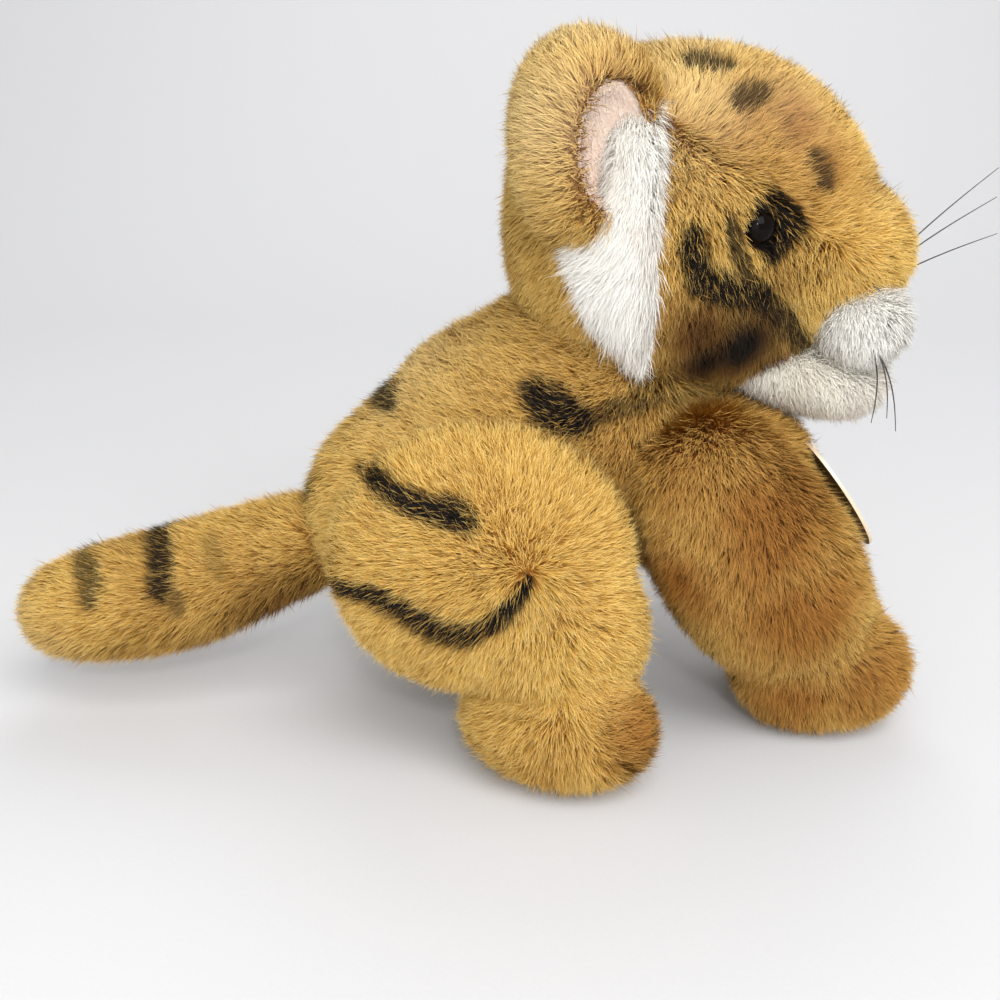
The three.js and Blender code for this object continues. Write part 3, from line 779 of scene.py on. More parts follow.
def seen_tree(piece: bpy.types.Object) -> BVHTree:
    """Makes a search tree for the photograph's rays, in which a piece of the left side is mirrored."""
    mesh = bmesh.new()
    mesh.from_mesh(piece.data)
    if min(vertex.co.y for vertex in mesh.verts) > -MM:
        bmesh.ops.scale(mesh, vec=(1, -1, 1), verts=mesh.verts)
    tree = BVHTree.FromBMesh(mesh)
    mesh.free()
    return tree


def numbers(collection: bpy.types.bpy_prop_collection, key: str, width: int = 3) -> np.ndarray:
    """Reads one property of all members of a collection into rows."""
    flat = np.empty(len(collection) * width, np.float32)
    collection.foreach_get(key, flat)
    return flat.reshape(-1, width).astype(float)


@dataclass(frozen=True)
class Mark:
    """A line on the cloth, drawn on the photograph: one of the stripes, a seam's groove, or a painted shadow.

    The half width is in millimetres, the depth says how dark or how deep it is, and the shade is
    what the line brings out in the pile.
    """

    pixels: tuple[Pixel, ...]
    half_wide: float
    depth: float = 1.0
    taper: float = 0.6
    shade: str = "dark"
    step: float = 5.0

    def places(self, tree: BVHTree) -> tuple[np.ndarray, np.ndarray]:
        """Projects the line onto a cloth.

        Args:
            tree: The cloth's search tree.
        Returns:
            The places along the line in metres, on the right side, and the half width at each.
        """
        line = np.array([(*pixel, 0.0) for pixel in self.pixels])
        long = float(np.linalg.norm(np.diff(line, axis=0), axis=1).sum())
        count = max(int(long / self.step), 1)
        found, widths = [], []
        for index in range(count + 1):
            share = index / count
            pixel = curve_point(line, share) if len(line) > 1 else line[0]
            hit = tree.ray_cast(PHOTO.eye, PHOTO.ray((pixel[0], pixel[1])))[0]
            if hit is None:
                continue
            found.append(hit)
            edge = min(share, 1 - share) * 2
            widths.append(self.half_wide * (1 - self.taper * (1 - edge) ** 2) * MM)
        return np.array(found).reshape(-1, 3), np.array(widths)

    def cover(self, tree: BVHTree, places: np.ndarray) -> np.ndarray:
        """Says how far inside the line places are: 1 on its middle, 0 at its edge, below outside."""
        found, widths = self.places(tree)
        cover = np.full(len(places), -np.inf)
        same_side = mirrored(places)
        for middle, width in zip(mirrored(found) if len(found) else found, widths):
            cover = np.maximum(cover, 1 - np.linalg.norm(same_side - middle, axis=1) / width)
        return cover


@dataclass(frozen=True)
class Touch:
    """How the pile lies and looks near a place, on the right side of the toy.

    The place is in the toy's millimetres, or a pixel until it is seated on a cloth. The way is the
    comb's direction. Long is a share of the pile's length, stand a share of its lean, and the
    colours are shares from 0 to 1.
    """

    place: Triple | Pixel
    reach: float
    way: Triple | None = None
    long: float = 1.0
    stand: float = 1.0
    russet_and_shade: float = 0.0
    cream_and_highlight: float = 0.0
    dark: float = 0.0

    def weight(self, places: np.ndarray) -> np.ndarray:
        """Says how much this touch counts at places on the right side, in toy millimetres."""
        return np.exp(-(((places - self.place) ** 2).sum(axis=1)) / self.reach**2)

    def seated(self, tree: BVHTree) -> "Touch | None":
        """Turns a place that is a pixel into the place of a cloth that shows there.

        Args:
            tree: The cloth's search tree.
        Returns:
            The touch in the toy's axes, or nothing where the pixel misses the cloth.
        """
        if len(self.place) == 3:
            return self
        hit = tree.ray_cast(PHOTO.eye, PHOTO.ray(self.place))[0]
        return None if hit is None else replace(self, place=tuple(to_toy(np.array(hit))))


def parted(
    line: Sequence[Pixel], above: Triple, below: Triple, gap: float = 15.0, reach: float = 7.0
) -> tuple[Touch, ...]:
    """Combs the pile away from a line on the photograph, to both sides of it.

    Args:
        line: The line, from left to right.
        above: The comb's direction over the line.
        below: The comb's direction under the line.
        gap: How many pixels off the line the two sides' touches are.
        reach: How far each touch reaches.
    Returns:
        The touches.
    """
    touches = []
    for start, end in zip(line, line[1:]):
        run = Vector(end) - Vector(start)
        off = Vector((-run.y, run.x)).normalized() * gap
        middle = (Vector(start) + Vector(end)) / 2
        touches.append(Touch(tuple(middle + off), reach, way=below))
        touches.append(Touch(tuple(middle - off), reach, way=above))
    return tuple(touches)


@dataclass(frozen=True)
class Pile:
    """How the pile of one cloth stands: long strands over a short, upright undercoat.

    Long, wide and the clumps' gap are millimetres, and close is the number of long strands on a
    square millimetre. Stray, swirl and clump say how far strands leave the comb's direction one by
    one, in patches, and towards each other. Tone is the spread of the strands' tones. Under is the
    undercoat's share of all strands, and the last three are shares of the long strands' sizes.
    """

    long: float = 9.2
    wide: float = 0.23
    close: float = 3.6
    lean_deg: float = 38.0
    stray: float = 0.37
    swirl: float = 0.40
    bend_deg: float = 14.0
    clump: float = 0.34
    clump_gap: float = 1.9
    tone: float = 0.2
    under: float = 0.45
    under_long: float = 0.62
    under_lean: float = 0.7
    under_wide: float = 1.9

    @property
    def strands(self) -> float:
        """How many strands of both kinds stand on a square millimetre."""
        return self.close * FINE / (1 - self.under)


@dataclass(frozen=True)
class Disorder:
    """What every pile has in common: how uneven its strands are, and how it lies on the floor."""

    lean_spread: float = 0.12
    shortest: float = 0.72
    longest: float = 1.08
    wild_share: float = 0.04
    wild_lean: float = 0.6
    wild_long: float = 1.25
    least_clump: float = 0.4
    clump_belly: float = 0.35
    swirl_size: float = 16.0
    small_swirl_size: float = 5.0
    small_swirl_share: float = 0.6
    foot_depth: float = 0.3
    floor_reach: float = 9.0
    floor_lean_deg: float = 86.0
    floor_short: float = 0.5
    least_fall: float = 0.05
    ragged: float = 0.2
    spared_share: float = 0.14
    spared_depth: float = 0.25
    edge_slope: float = 2.4
    edge_start: float = 0.3


DISORDER = Disorder()


@dataclass
class Coat:
    """Pile rooted on one cloth.

    Neighbours are pieces that the pile keeps some millimetres off. Outward is a middle and the least
    cosine with the way from it at which pile stands, facing is a place that the pile's cloth faces,
    and bare are forms inside which none stands.
    """

    cloth: bpy.types.Object
    pile: Pile
    touches: tuple[Touch, ...]
    marks: tuple[Mark, ...] = ()
    neighbours: tuple[bpy.types.Object, ...] = ()
    seed: int = 1
    keep_off: float = 2.0
    outward: tuple[Triple, float] | None = None
    facing: Triple | None = None
    bare: tuple[Lump, ...] = ()
    feel: float = 10.0

    def __post_init__(self) -> None:
        """Seats the touches that are placed on the photograph, and drops those that miss the cloth."""
        tree = seen_tree(self.cloth)
        seated = [touch.seated(tree) for touch in self.touches]
        self.touches = tuple(touch for touch in seated if touch is not None)

    def vertex_fields(self) -> dict[str, np.ndarray]:
        """Works out what changes slowly over the cloth, at each of its vertices."""
        data = self.cloth.data
        places = numbers(data.vertices, "co")
        fields = {"clear": np.full(len(places), 1.0)}
        for neighbour in self.neighbours:
            tree = tree_of(neighbour)
            far = [tree.find_nearest(Vector(place), self.feel * MM)[3] or 1.0 for place in places]
            fields["clear"] = np.minimum(fields["clear"], far)
        fine = self.swirl_at(places, DISORDER.small_swirl_size)
        fields["swirl"] = self.swirl_at(places, DISORDER.swirl_size) + DISORDER.small_swirl_share * fine
        return fields

    @staticmethod
    def swirl_at(places: np.ndarray, size: float) -> np.ndarray:
        """Gives a soft random direction at each place, that changes over this many millimetres."""
        return np.array([noise.noise_vector(Vector(place) / (size * MM)) for place in places])

    def shades(self, places: np.ndarray) -> dict[str, np.ndarray]:
        """Says what the touches bring out at places in metres."""
        toy = mirrored(to_toy(places))
        found = {}
        for name in SHADES:
            found[name] = np.zeros(len(toy))
            for touch in self.touches:
                if getattr(touch, name) > 0:
                    found[name] = np.maximum(found[name], touch.weight(toy) * getattr(touch, name))
        return found

    def dye(self) -> None:
        """Gives the cloth the shades of the pile that stands on it."""
        data = self.cloth.data
        places = numbers(data.vertices, "co")
        shades = self.shades(places)
        self.paint(shades, places, None)
        for name, values in shades.items():
            attribute = data.attributes.new(name, "FLOAT", "POINT")
            attribute.data.foreach_set("value", values.astype(np.float32))

    def roots(self, rng: np.random.Generator) -> tuple[np.ndarray, np.ndarray, np.ndarray, np.ndarray]:
        """Scatters the roots over the cloth, whose triangles are first put in the order of their corners.

        Args:
            rng: The source of the scatter.
        Returns:
            The roots, the cloth's direction there, the swirl, and the distance to the neighbours.
        """
        data = self.cloth.data
        data.calc_loop_triangles()
        corners = np.empty(len(data.loop_triangles) * 3, np.int32)
        data.loop_triangles.foreach_get("vertices", corners)
        corners = np.unique(np.sort(corners.reshape(-1, 3), axis=1), axis=0)
        places = numbers(data.vertices, "co")
        normals = numbers(data.vertices, "normal")
        first, second, third = (places[corners[:, index]] for index in range(3))
        areas = np.linalg.norm(np.cross(second - first, third - first), axis=1) / 2
        count = int(areas.sum() / MM**2 * self.pile.strands)
        chosen = rng.choice(len(corners), count, p=areas / areas.sum())
        shares = rng.random((count, 2))
        over = shares.sum(axis=1) > 1
        shares[over] = 1 - shares[over]
        weights = np.column_stack([1 - shares.sum(axis=1), shares])[:, :, None]
        fields = self.vertex_fields()

        def spread(values: np.ndarray) -> np.ndarray:
            """Carries values from the vertices to the roots."""
            return (values[corners[chosen]] * weights).sum(axis=1)

        normal = unit(spread(normals))
        return spread(places), normal, spread(fields["swirl"]), spread(fields["clear"][:, None])[:, 0]

    def kept(self, root: np.ndarray, normal: np.ndarray, clear: np.ndarray) -> np.ndarray:
        """Says at which roots pile stands.

        Args:
            root: The roots.
            normal: The cloth's direction at each.
            clear: The distance from each to the neighbours.
        Returns:
            Whether each is kept.
        """
        keep = clear > self.keep_off * MM
        if self.outward is not None:
            middle, least = self.outward
            keep &= (unit(root - to_frame(middle)) * normal).sum(axis=1) > least
        for form in self.bare:
            keep &= form.outside(root)
        if self.facing is not None:
            keep &= ((to_frame(self.facing) - root) * normal).sum(axis=1) > 0
        return keep

    def combed(
        self, rng: np.random.Generator, root: np.ndarray, normal: np.ndarray, swirl: np.ndarray
    ) -> tuple[np.ndarray, np.ndarray, np.ndarray]:
        """Works out how the strands lie at their roots.

        Args:
            rng: The source of their disorder.
            root: The roots.
            normal: The cloth's direction at each.
            swirl: The random direction at each.
        Returns:
            The way along the cloth in which each leans, its length, and its share of the pile's lean.
        """
        count = len(root)
        toy = mirrored(to_toy(root))
        way = np.zeros((count, 3))
        long = np.full(count, self.pile.long * MM)
        stand = np.ones(count)
        for touch in self.touches:
            weight = touch.weight(toy)
            if touch.way is not None:
                way += (weight + 1e-9)[:, None] * np.array(touch.way)
            long *= 1 + weight * (touch.long - 1)
            stand *= 1 + weight * (touch.stand - 1)
        way = unit(way)
        way[root[:, 1] > 0, 1] *= -1
        way += swirl * self.pile.swirl + rng.normal(0, self.pile.stray, (count, 3))
        return unit(flat_on(normal, way)), long, stand

    def grow(self) -> tuple["Blades", "Blades"]:
        """Grows every strand of the coat.

        Returns:
            The long strands, and the undercoat's.
        """
        rng = np.random.default_rng(self.seed)
        pile = self.pile
        root, normal, swirl, clear = self.roots(rng)
        keep = self.kept(root, normal, clear)
        root, normal, swirl = root[keep], normal[keep], swirl[keep]
        count = len(root)
        shades = self.shades(root)
        way, long, stand = self.combed(rng, root, normal, swirl)
        lean = np.radians(pile.lean_deg) * stand + rng.normal(0, DISORDER.lean_spread, count)
        wild = rng.random(count) < DISORDER.wild_share
        lean = np.where(wild, lean * DISORDER.wild_lean, lean)
        long *= rng.uniform(DISORDER.shortest, DISORDER.longest, count)
        long *= np.where(wild, DISORDER.wild_long, 1.0)
        under = rng.random(count) < pile.under
        lean = np.where(under, lean * pile.under_lean, lean)
        long = np.where(under, long * pile.under_long, long)
        floor_reach = DISORDER.floor_reach * MM
        low = np.clip((floor_reach - root[:, 2]) / floor_reach, 0, 1) * (normal[:, 2] < 0)
        lean += (math.radians(DISORDER.floor_lean_deg) - lean) * low
        long *= 1 - DISORDER.floor_short * low
        bend = math.radians(pile.bend_deg)
        rise = np.cos(lean - bend)[:, None] * normal + np.sin(lean - bend)[:, None] * way
        fall = np.cos(lean + bend)[:, None] * normal + np.sin(lean + bend)[:, None] * way
        belly = root + rise * (long / 2)[:, None]
        tip = belly + fall * (long / 2)[:, None]
        belly, tip = self.gathered(rng, root, belly, tip)
        room = (root[:, 2] - OFF_FLOOR * MM) / np.maximum(root[:, 2] - tip[:, 2], 1e-9)
        room = np.where(tip[:, 2] < OFF_FLOOR * MM, np.clip(room, DISORDER.least_fall, 1), 1.0)[:, None]
        belly, tip = root + (belly - root) * room, root + (tip - root) * room
        self.paint(shades, root + flat_on(normal, (belly + tip) / 2 - root), rng)
        shades["tone"] = np.clip(rng.normal(0.5, pile.tone, count), 0, 1)
        foot = root - normal * DISORDER.foot_depth * MM
        strands = Blades(foot, belly, tip, normal, pile.wide, shades)
        undercoat = strands.part(under)
        undercoat.wide = pile.wide * pile.under_wide
        undercoat.slim = False
        return strands.part(~under), undercoat

    def gathered(
        self, rng: np.random.Generator, root: np.ndarray, belly: np.ndarray, tip: np.ndarray
    ) -> tuple[np.ndarray, np.ndarray]:
        """Draws neighbouring strands together into small locks.

        Args:
            rng: The source of the locks' leaders and of their pull.
            root: The strands' roots.
            belly: Their middles.
            tip: Their tips.
        Returns:
            Their new middles and tips.
        """
        count = len(root)
        in_a_lock = self.pile.strands * self.pile.clump_gap**2
        leaders = rng.choice(count, max(int(count / in_a_lock), 1), replace=False)
        tree = kdtree.KDTree(len(leaders))
        for index, leader in enumerate(leaders):
            tree.insert(root[leader], index)
        tree.balance()
        lead = leaders[[tree.find(place)[1] for place in root]]
        pull = self.pile.clump * rng.uniform(DISORDER.least_clump, 1.0, count)[:, None]
        shift = (tip[lead] - tip) * pull
        return belly + shift * DISORDER.clump_belly, tip + shift

    def paint(
        self, shades: dict[str, np.ndarray], places: np.ndarray, rng: np.random.Generator | None
    ) -> None:
        """Adds the stripes, the lines and the painted shadows to the shades at places, ragged where a source
        of scatter is given.
        """
        count = len(places)
        tree = seen_tree(self.cloth) if self.marks else None
        spared = 1.0
        if rng is not None:
            spared = np.where(rng.random(count) < DISORDER.spared_share, DISORDER.spared_depth, 1.0)
        for mark in self.marks:
            cover = mark.cover(tree, places)
            if rng is not None:
                cover += rng.normal(0, DISORDER.ragged, count)
            inside = np.clip(cover * DISORDER.edge_slope + DISORDER.edge_start, 0, 1)
            found = inside * mark.depth * spared
            shades[mark.shade] = np.maximum(shades[mark.shade], found)


KITE = ((0.5, 0.04), (0.04, 0.5), (0.96, 0.5), (0.5, 0.96))
WEDGE = ((0.06, 0.06), (0.94, 0.06), (0.5, 0.94))


@dataclass
class Blades:
    """Strands: each is a slim kite of two faces, with a belly, or one face that is broad at its root."""

    root: np.ndarray
    belly: np.ndarray
    tip: np.ndarray
    normal: np.ndarray
    wide: float
    shades: dict[str, np.ndarray]
    slim: bool = True
    roll: float = 0.9
    narrowest: float = 0.7
    widest: float = 1.2
    cloth_light: float = 0.85
    strand_light: float = 0.32
    broad_end: float = 0.62

    def part(self, keep: np.ndarray) -> "Blades":
        """Picks some of the strands."""
        shades = {name: values[keep] for name, values in self.shades.items()}
        ends = (self.root[keep], self.belly[keep], self.tip[keep])
        return Blades(*ends, self.normal[keep], self.wide, shades, self.slim)

    def corners(self, rng: np.random.Generator) -> tuple[np.ndarray, np.ndarray]:
        """Works out the corners of the strands.

        Args:
            rng: The source of each strand's roll.
        Returns:
            The corners and as many shading directions for each strand.
        """
        way = self.tip - self.root
        across = unit(np.cross(way, self.normal))
        roll = rng.uniform(-self.roll, self.roll, len(way))[:, None]
        face = unit(np.cross(across, way))
        across = across * np.cos(roll) + face * np.sin(roll)
        width = self.wide * MM / math.sqrt(FINE) * rng.uniform(self.narrowest, self.widest, len(way))
        half = across * (width / 2)[:, None]
        if self.slim:
            corners = np.stack([self.root, self.belly - half, self.belly + half, self.tip], axis=1)
        else:
            corners = np.stack([self.root - half, self.root + half, self.tip], axis=1)
        corners[:, :, 2] = np.maximum(corners[:, :, 2], OFF_FLOOR * MM)
        facing = unit(np.cross(half, way))
        facing *= np.sign((facing * self.normal).sum(axis=1, keepdims=True) + TINY)
        shading = unit(self.normal * self.cloth_light + facing * self.strand_light)
        return corners, np.repeat(shading[:, None, :], corners.shape[1], axis=1)

    def piece(self, name: str, seed: int) -> bpy.types.Object:
        """Makes the strands a piece.

        Args:
            name: The piece's name.
            seed: Seeds each strand's roll.
        Returns:
            The piece, with its colours as attributes and a map of one cell for each strand.
        """
        rng = np.random.default_rng(seed)
        corners, shading = self.corners(rng)
        count, points = corners.shape[:2]
        first = np.arange(count)[:, None] * points
        turns = np.array([[0, 1, 2, 1, 3, 2]] if self.slim else [[0, 1, 2]])
        flipped = np.cross(corners[:, 1] - corners[:, 0], corners[:, 2] - corners[:, 0])
        wrong = (flipped * self.normal).sum(axis=1) < 0
        order = np.where(wrong[:, None], turns[:, ::-1], turns) + first
        data = bpy.data.meshes.new(name)
        data.vertices.add(count * points)
        data.vertices.foreach_set("co", corners.astype(np.float32).ravel())
        data.loops.add(order.size)
        data.loops.foreach_set("vertex_index", order.astype(np.int32).ravel())
        data.polygons.add(order.size // 3)
        data.polygons.foreach_set("loop_start", np.arange(0, order.size, 3, dtype=np.int32))
        data.update(calc_edges=True)
        data.shade_smooth()
        data.attributes.new("custom_normal", "FLOAT_VECTOR", "POINT")
        data.attributes["custom_normal"].data.foreach_set("vector", shading.astype(np.float32).ravel())
        shades = {shade: np.repeat(values, points) for shade, values in self.shades.items()}
        shades["along"] = np.tile((0.0, 0.5, 0.5, 1.0) if self.slim else (0.0, 0.0, self.broad_end), count)
        for shade, values in shades.items():
            attribute = data.attributes.new(shade, "FLOAT", "POINT")
            attribute.data.foreach_set("value", values.astype(np.float32))
        self.lay_map(data, order, KITE if self.slim else WEDGE)
        piece = bpy.data.objects.new(name, data)
        bpy.context.scene.collection.objects.link(piece)
        return piece

    @staticmethod
    def lay_map(data: bpy.types.Mesh, order: np.ndarray, shape: Sequence[Pixel]) -> None:
        """Gives each strand a cell of its own in the piece's map, where it has this shape."""
        count = len(order)
        across = math.ceil(math.sqrt(max(count, 1)))
        cell = np.arange(count)
        start = np.stack([cell % across, cell // across], axis=1)[:, None, :]
        spots = ((start + np.array(shape)[None]) / across).reshape(-1, 2)
        layer = data.uv_layers.new(name="OFBake")
        layer.data.foreach_set("uv", spots[order.ravel()].astype(np.float32).ravel())


def report(
    piece: bpy.types.Object, body: str, nodes: Sequence[str] = ()
) -> bpy.types.Object:
    """Hands a finished piece to the frame and reports it.

    Args:
        piece: The piece.
        body: The body that it rides on.
        nodes: The nodes that it stands for.
    Returns:
        The piece.
    """
    if nodes:
        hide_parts(*nodes)
    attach(piece, body)
    LOG.info("%s rides on %s: %d faces", piece.name, body, len(piece.data.polygons))
    return piece


def furred(
    name: str, coat: Coat, body: str, finish: PileFinish, halved: bool = False
) -> None:
    """Grows a coat, hands its pieces over and dyes its cloth.

    Args:
        name: What the pieces' names start with.
        coat: The coat.
        body: The body that the pieces ride on.
        finish: The pile's finish.
        halved: Whether the long strands are one piece for each side of the toy.
    """
    strands, undercoat = coat.grow()
    rows = [(f"{name}_pile", strands), (f"{name}_underpile", undercoat)]
    if halved:
        halves = [(side, strands.part(strands.root[:, 1] * side.value > 0)) for side in Side]
        rows[:1] = [(f"{name}_pile_{side.word}", half) for side, half in halves]
    for index, (title, blades) in enumerate(rows):
        piece = blades.piece(title, coat.seed + 100 * (index + 1))
        WARDROBE.put_on(piece, finish)
        report(piece, body)
    coat.dye()


def sunk_along(piece: bpy.types.Object, marks: Iterable[Mark]) -> None:
    """Presses seam grooves into a cloth, on both sides."""
    for mark in marks:
        tree = seen_tree(piece)
        places = numbers(piece.data.vertices, "co")
        normals = numbers(piece.data.vertices, "normal")
        far = 1 - mark.cover(tree, places)
        places -= normals * (np.exp(-(far**2)) * mark.depth * MM)[:, None]
        piece.data.vertices.foreach_set("co", places.astype(np.float32).ravel())
        piece.data.update()


FLANK_STRIPES = (
    Mark(((368, 470), (400, 496), (436, 511), (464, 523)), 4.8, 1.0, 0.5),
    Mark(((448, 506), (464, 520)), 5.4, 0.95, 0.2),
    Mark(((333, 578), (378, 591), (420, 613), (456, 629), (492, 618), (527, 583)), 5.0, 1.0, 0.5),
    Mark(((333, 578), (345, 588)), 4.4, 0.9, 0.2),
)


@dataclass
class Torso:
    """The body from rump to neck, with its white belly panel."""

    cell: float = 2.5
    inset: float = 3.6
    rounds: int = 14
    fill: float = 0.9
    seed: int = 11
    belly_seed: int = 14
    spine: Swell = Swell(
        points=((-78, 0, 70), (-46, 0, 75), (-13, 0, 86), (13, 0, 108), (33, 0, 137), (43, 0, 156.6)),
        widths=(40, 40, 45, 44, 40, 40),
        depths=(47, 47, 53, 50, 43, 43),
        roundness=2.4,
    )
    chest: Lump = Lump((60, 0, 88), (41, 42, 33))
    seam_place: Triple = (-78, 0, 42)
    seam_rise_deg: float = 10.0
    pile: Pile = Pile(close=3.4)
    touches: tuple[Touch, ...] = (
        Touch((-60, -30, 90), 45, way=(-0.9, -0.1, 0.1)),
        Touch((-10, -45, 120), 40, way=(-0.45, -0.1, 0.8), stand=0.8),
        # The russet on the shoulder, on the chest and under the chest is partly the cloth's redder colour and
        # partly painted shade.
        Touch((20, -45, 130), 35, way=(-0.5, -0.2, -0.7), russet_and_shade=0.35),
        Touch((70, -30, 95), 34, way=(0.5, -0.3, -0.5), stand=0.6, russet_and_shade=0.85),
        Touch((40, -45, 100), 32, russet_and_shade=0.7),
        Touch((70, 0, 112), 34, way=(0.9, 0, 0.2), russet_and_shade=0.75),
        Touch((40, -20, 60), 30, way=(0.2, -0.3, -0.8), russet_and_shade=0.6),
        Touch((-78, 0, 80), 26, way=(-0.8, -0.1, -0.5)),
        # The cream on the top of the back is a painted highlight on the pile's tips.
        Touch((-35, 0, 128), 26, cream_and_highlight=0.2),
    )
    marks: tuple[Mark, ...] = (
        Mark(((371, 392), (388, 400), (400, 412)), 6.4, 0.92, 0.3),
        Mark(((288, 484), (304, 488), (322, 494)), 5.6, 0.9, 0.3),
        Mark(((536, 396), (552, 410), (578, 421)), 8.0, 1.0, 0.3),
        Mark(((578, 421), (606, 411), (652, 400)), 3.8, 0.75, 0.5),
        # A painted shadow under the chin: a dark band on the chest's pile.
        Mark(((640, 384), (700, 396), (780, 402)), 9.0, 0.55, 0.4),
        *FLANK_STRIPES,
    )
    belly_pile: Pile = Pile(close=2.5, lean_deg=50, clump=0.2)
    belly_touches: tuple[Touch, ...] = (
        Touch((-40, -30, 40), 60, way=(0.3, -0.5, -0.7)),
        Touch((60, 0, 55), 40, way=(0.6, -0.2, -0.7)),
    )
    cloth: bpy.types.Object = field(init=False)
    belly: bpy.types.Object = field(init=False)
    whole: bpy.types.Object = field(init=False)

    def build(self) -> None:
        """Makes the two cloths, cut at the neck and along the belly seam."""
        forms = (self.spine, self.chest)
        self.whole = melted("torso_cloth", forms, self.inset, self.cell, self.rounds)
        above = block_beyond(NECK, NECK_AXIS, -SEAM_GAP / 2)
        carved(self.whole, above)
        down = Vector((0, 0, 1))
        down.rotate(Euler((0, math.pi - math.radians(self.seam_rise_deg), 0)))
        under = block_beyond(self.seam_place, down, 0.0)
        below = block_beyond(self.seam_place, down, SEAM_GAP)
        self.cloth = swollen(self.whole, 0)
        self.cloth.name = "torso_cloth_cut"
        carved(self.cloth, under)
        self.belly = swollen(self.whole, 0)
        self.belly.name = "belly_cloth"
        carved(self.belly, below, operation="INTERSECT")
        discard(above, under, below)

    def dress(self, around: Sequence[bpy.types.Object]) -> None:
        """Roots the pile and hands the pieces over."""
        coat = Coat(self.cloth, self.pile, self.touches, self.marks, tuple(around), self.seed)
        furred("torso", coat, "torso", GOLDEN_PILE, halved=True)
        under = Coat(self.belly, self.belly_pile, self.belly_touches, (), tuple(around), self.belly_seed)
        furred("belly", under, "torso", WHITE_PILE)
        discard(self.whole)
        self.cloth.name = "torso_cloth"
        WARDROBE.put_on(self.cloth, GOLDEN_BACKING)
        report(self.cloth, "torso", ("torso_skin", "torso_stuffing"))
        WARDROBE.put_on(self.belly, WHITE_BACKING)
        report(self.belly, "torso", ("belly_panel",))


@dataclass
class Limb:
    """A leg or the tail: a stuffed form that swings on the torso."""

    name: str
    forms: tuple[Form, ...]
    hinge: Hinge
    pile: Pile
    touches: tuple[Touch, ...]
    marks: tuple[Mark, ...] = ()
    dimples: tuple[Mark, ...] = ()
    seed: int = 20
    cell: float = 2.3
    inset: float = 3.6
    rounds: int = 10
    fill: float = 0.85
    cloth: bpy.types.Object = field(init=False)

    def build(self, torso: Torso) -> None:
        """Makes the cloth, cut clear of the torso through the limb's swing."""
        self.cloth = melted(f"{self.name}_cloth", self.forms, self.inset, self.cell, self.rounds)
        sunk_along(self.cloth, self.dimples)
        kept_clear(self.cloth, torso.whole, self.hinge)

    def dress(self, around: Sequence[bpy.types.Object]) -> None:
        """Roots the pile and hands the pieces over."""
        coat = Coat(self.cloth, self.pile, self.touches, self.marks, tuple(around), seed=self.seed)
        furred(self.name, coat, self.name, GOLDEN_PILE)
        WARDROBE.put_on(self.cloth, GOLDEN_BACKING)
        nodes = (f"{self.name}_skin", f"{self.name}_stuffing")
        report(self.cloth, self.name, nodes)


FRONT_LEG_OUT = 31.0
FRONT_PAW_OUT = 20.5


def front_leg(side: Side) -> Limb:
    """Gives a front leg: it leans forward from the shoulder to the paw."""
    out, paw_out = side.value * FRONT_LEG_OUT, side.value * FRONT_PAW_OUT
    arm = Swell(
        points=((47, out, 118), (58, out, 96), (82, out, 60), (106, paw_out, 23)),
        widths=(25, 25, 25, 19),
        depths=(29, 29, 33, 28),
        roundness=2.6,
        sides=48,
    )
    paw = Lump((104, paw_out, 23.5), (32, 20, 24))
    touches = (
        # The russet on the front leg and its paw is partly the cloth's deeper orange-brown and partly painted
        # shade.
        Touch((60, -45, 108), 24, way=(0.1, -0.4, -0.5), russet_and_shade=0.5),
        Touch((52, -50, 75), 22, way=(-0.4, -0.2, -0.7), stand=0.9, russet_and_shade=0.7),
        Touch((84, -52, 62), 26, way=(0.2, -0.3, -0.8), stand=0.85, russet_and_shade=0.6),
        Touch((700, 470), 20, russet_and_shade=0.7),
        Touch((765, 520), 28, russet_and_shade=1.15),
        Touch((690, 570), 20, russet_and_shade=0.95),
        Touch((800, 610), 26, russet_and_shade=1.1),
        Touch((790, 690), 20, russet_and_shade=1.0),
        Touch((862, 675), 20, russet_and_shade=1.0),
        Touch((110, -36, 62), 20, way=(0.8, -0.1, -0.3), stand=0.8, russet_and_shade=0.5),
        Touch((105, -42, 28), 20, way=(0.3, -0.3, -0.8), stand=0.7, russet_and_shade=0.75),
        Touch((75, -40, 25), 20, way=(-0.3, -0.2, -0.8), russet_and_shade=0.85),
        Touch((135, -25, 30), 20, way=(0.8, 0, -0.3), russet_and_shade=0.55),
        Touch((95, 0, 60), 24, way=(0.1, 0.5, -0.8), russet_and_shade=0.85),
    )
    marks = (Mark(((630, 412), (680, 404), (750, 408)), 4.0, 0.35, 0.5),)
    return Limb(
        f"{side.word}_front_leg",
        (arm, paw),
        Hinge((58, 0, 96), "Y", 8),
        Pile(),
        touches,
        marks,
        seed=30 + side.value * 2,
    )


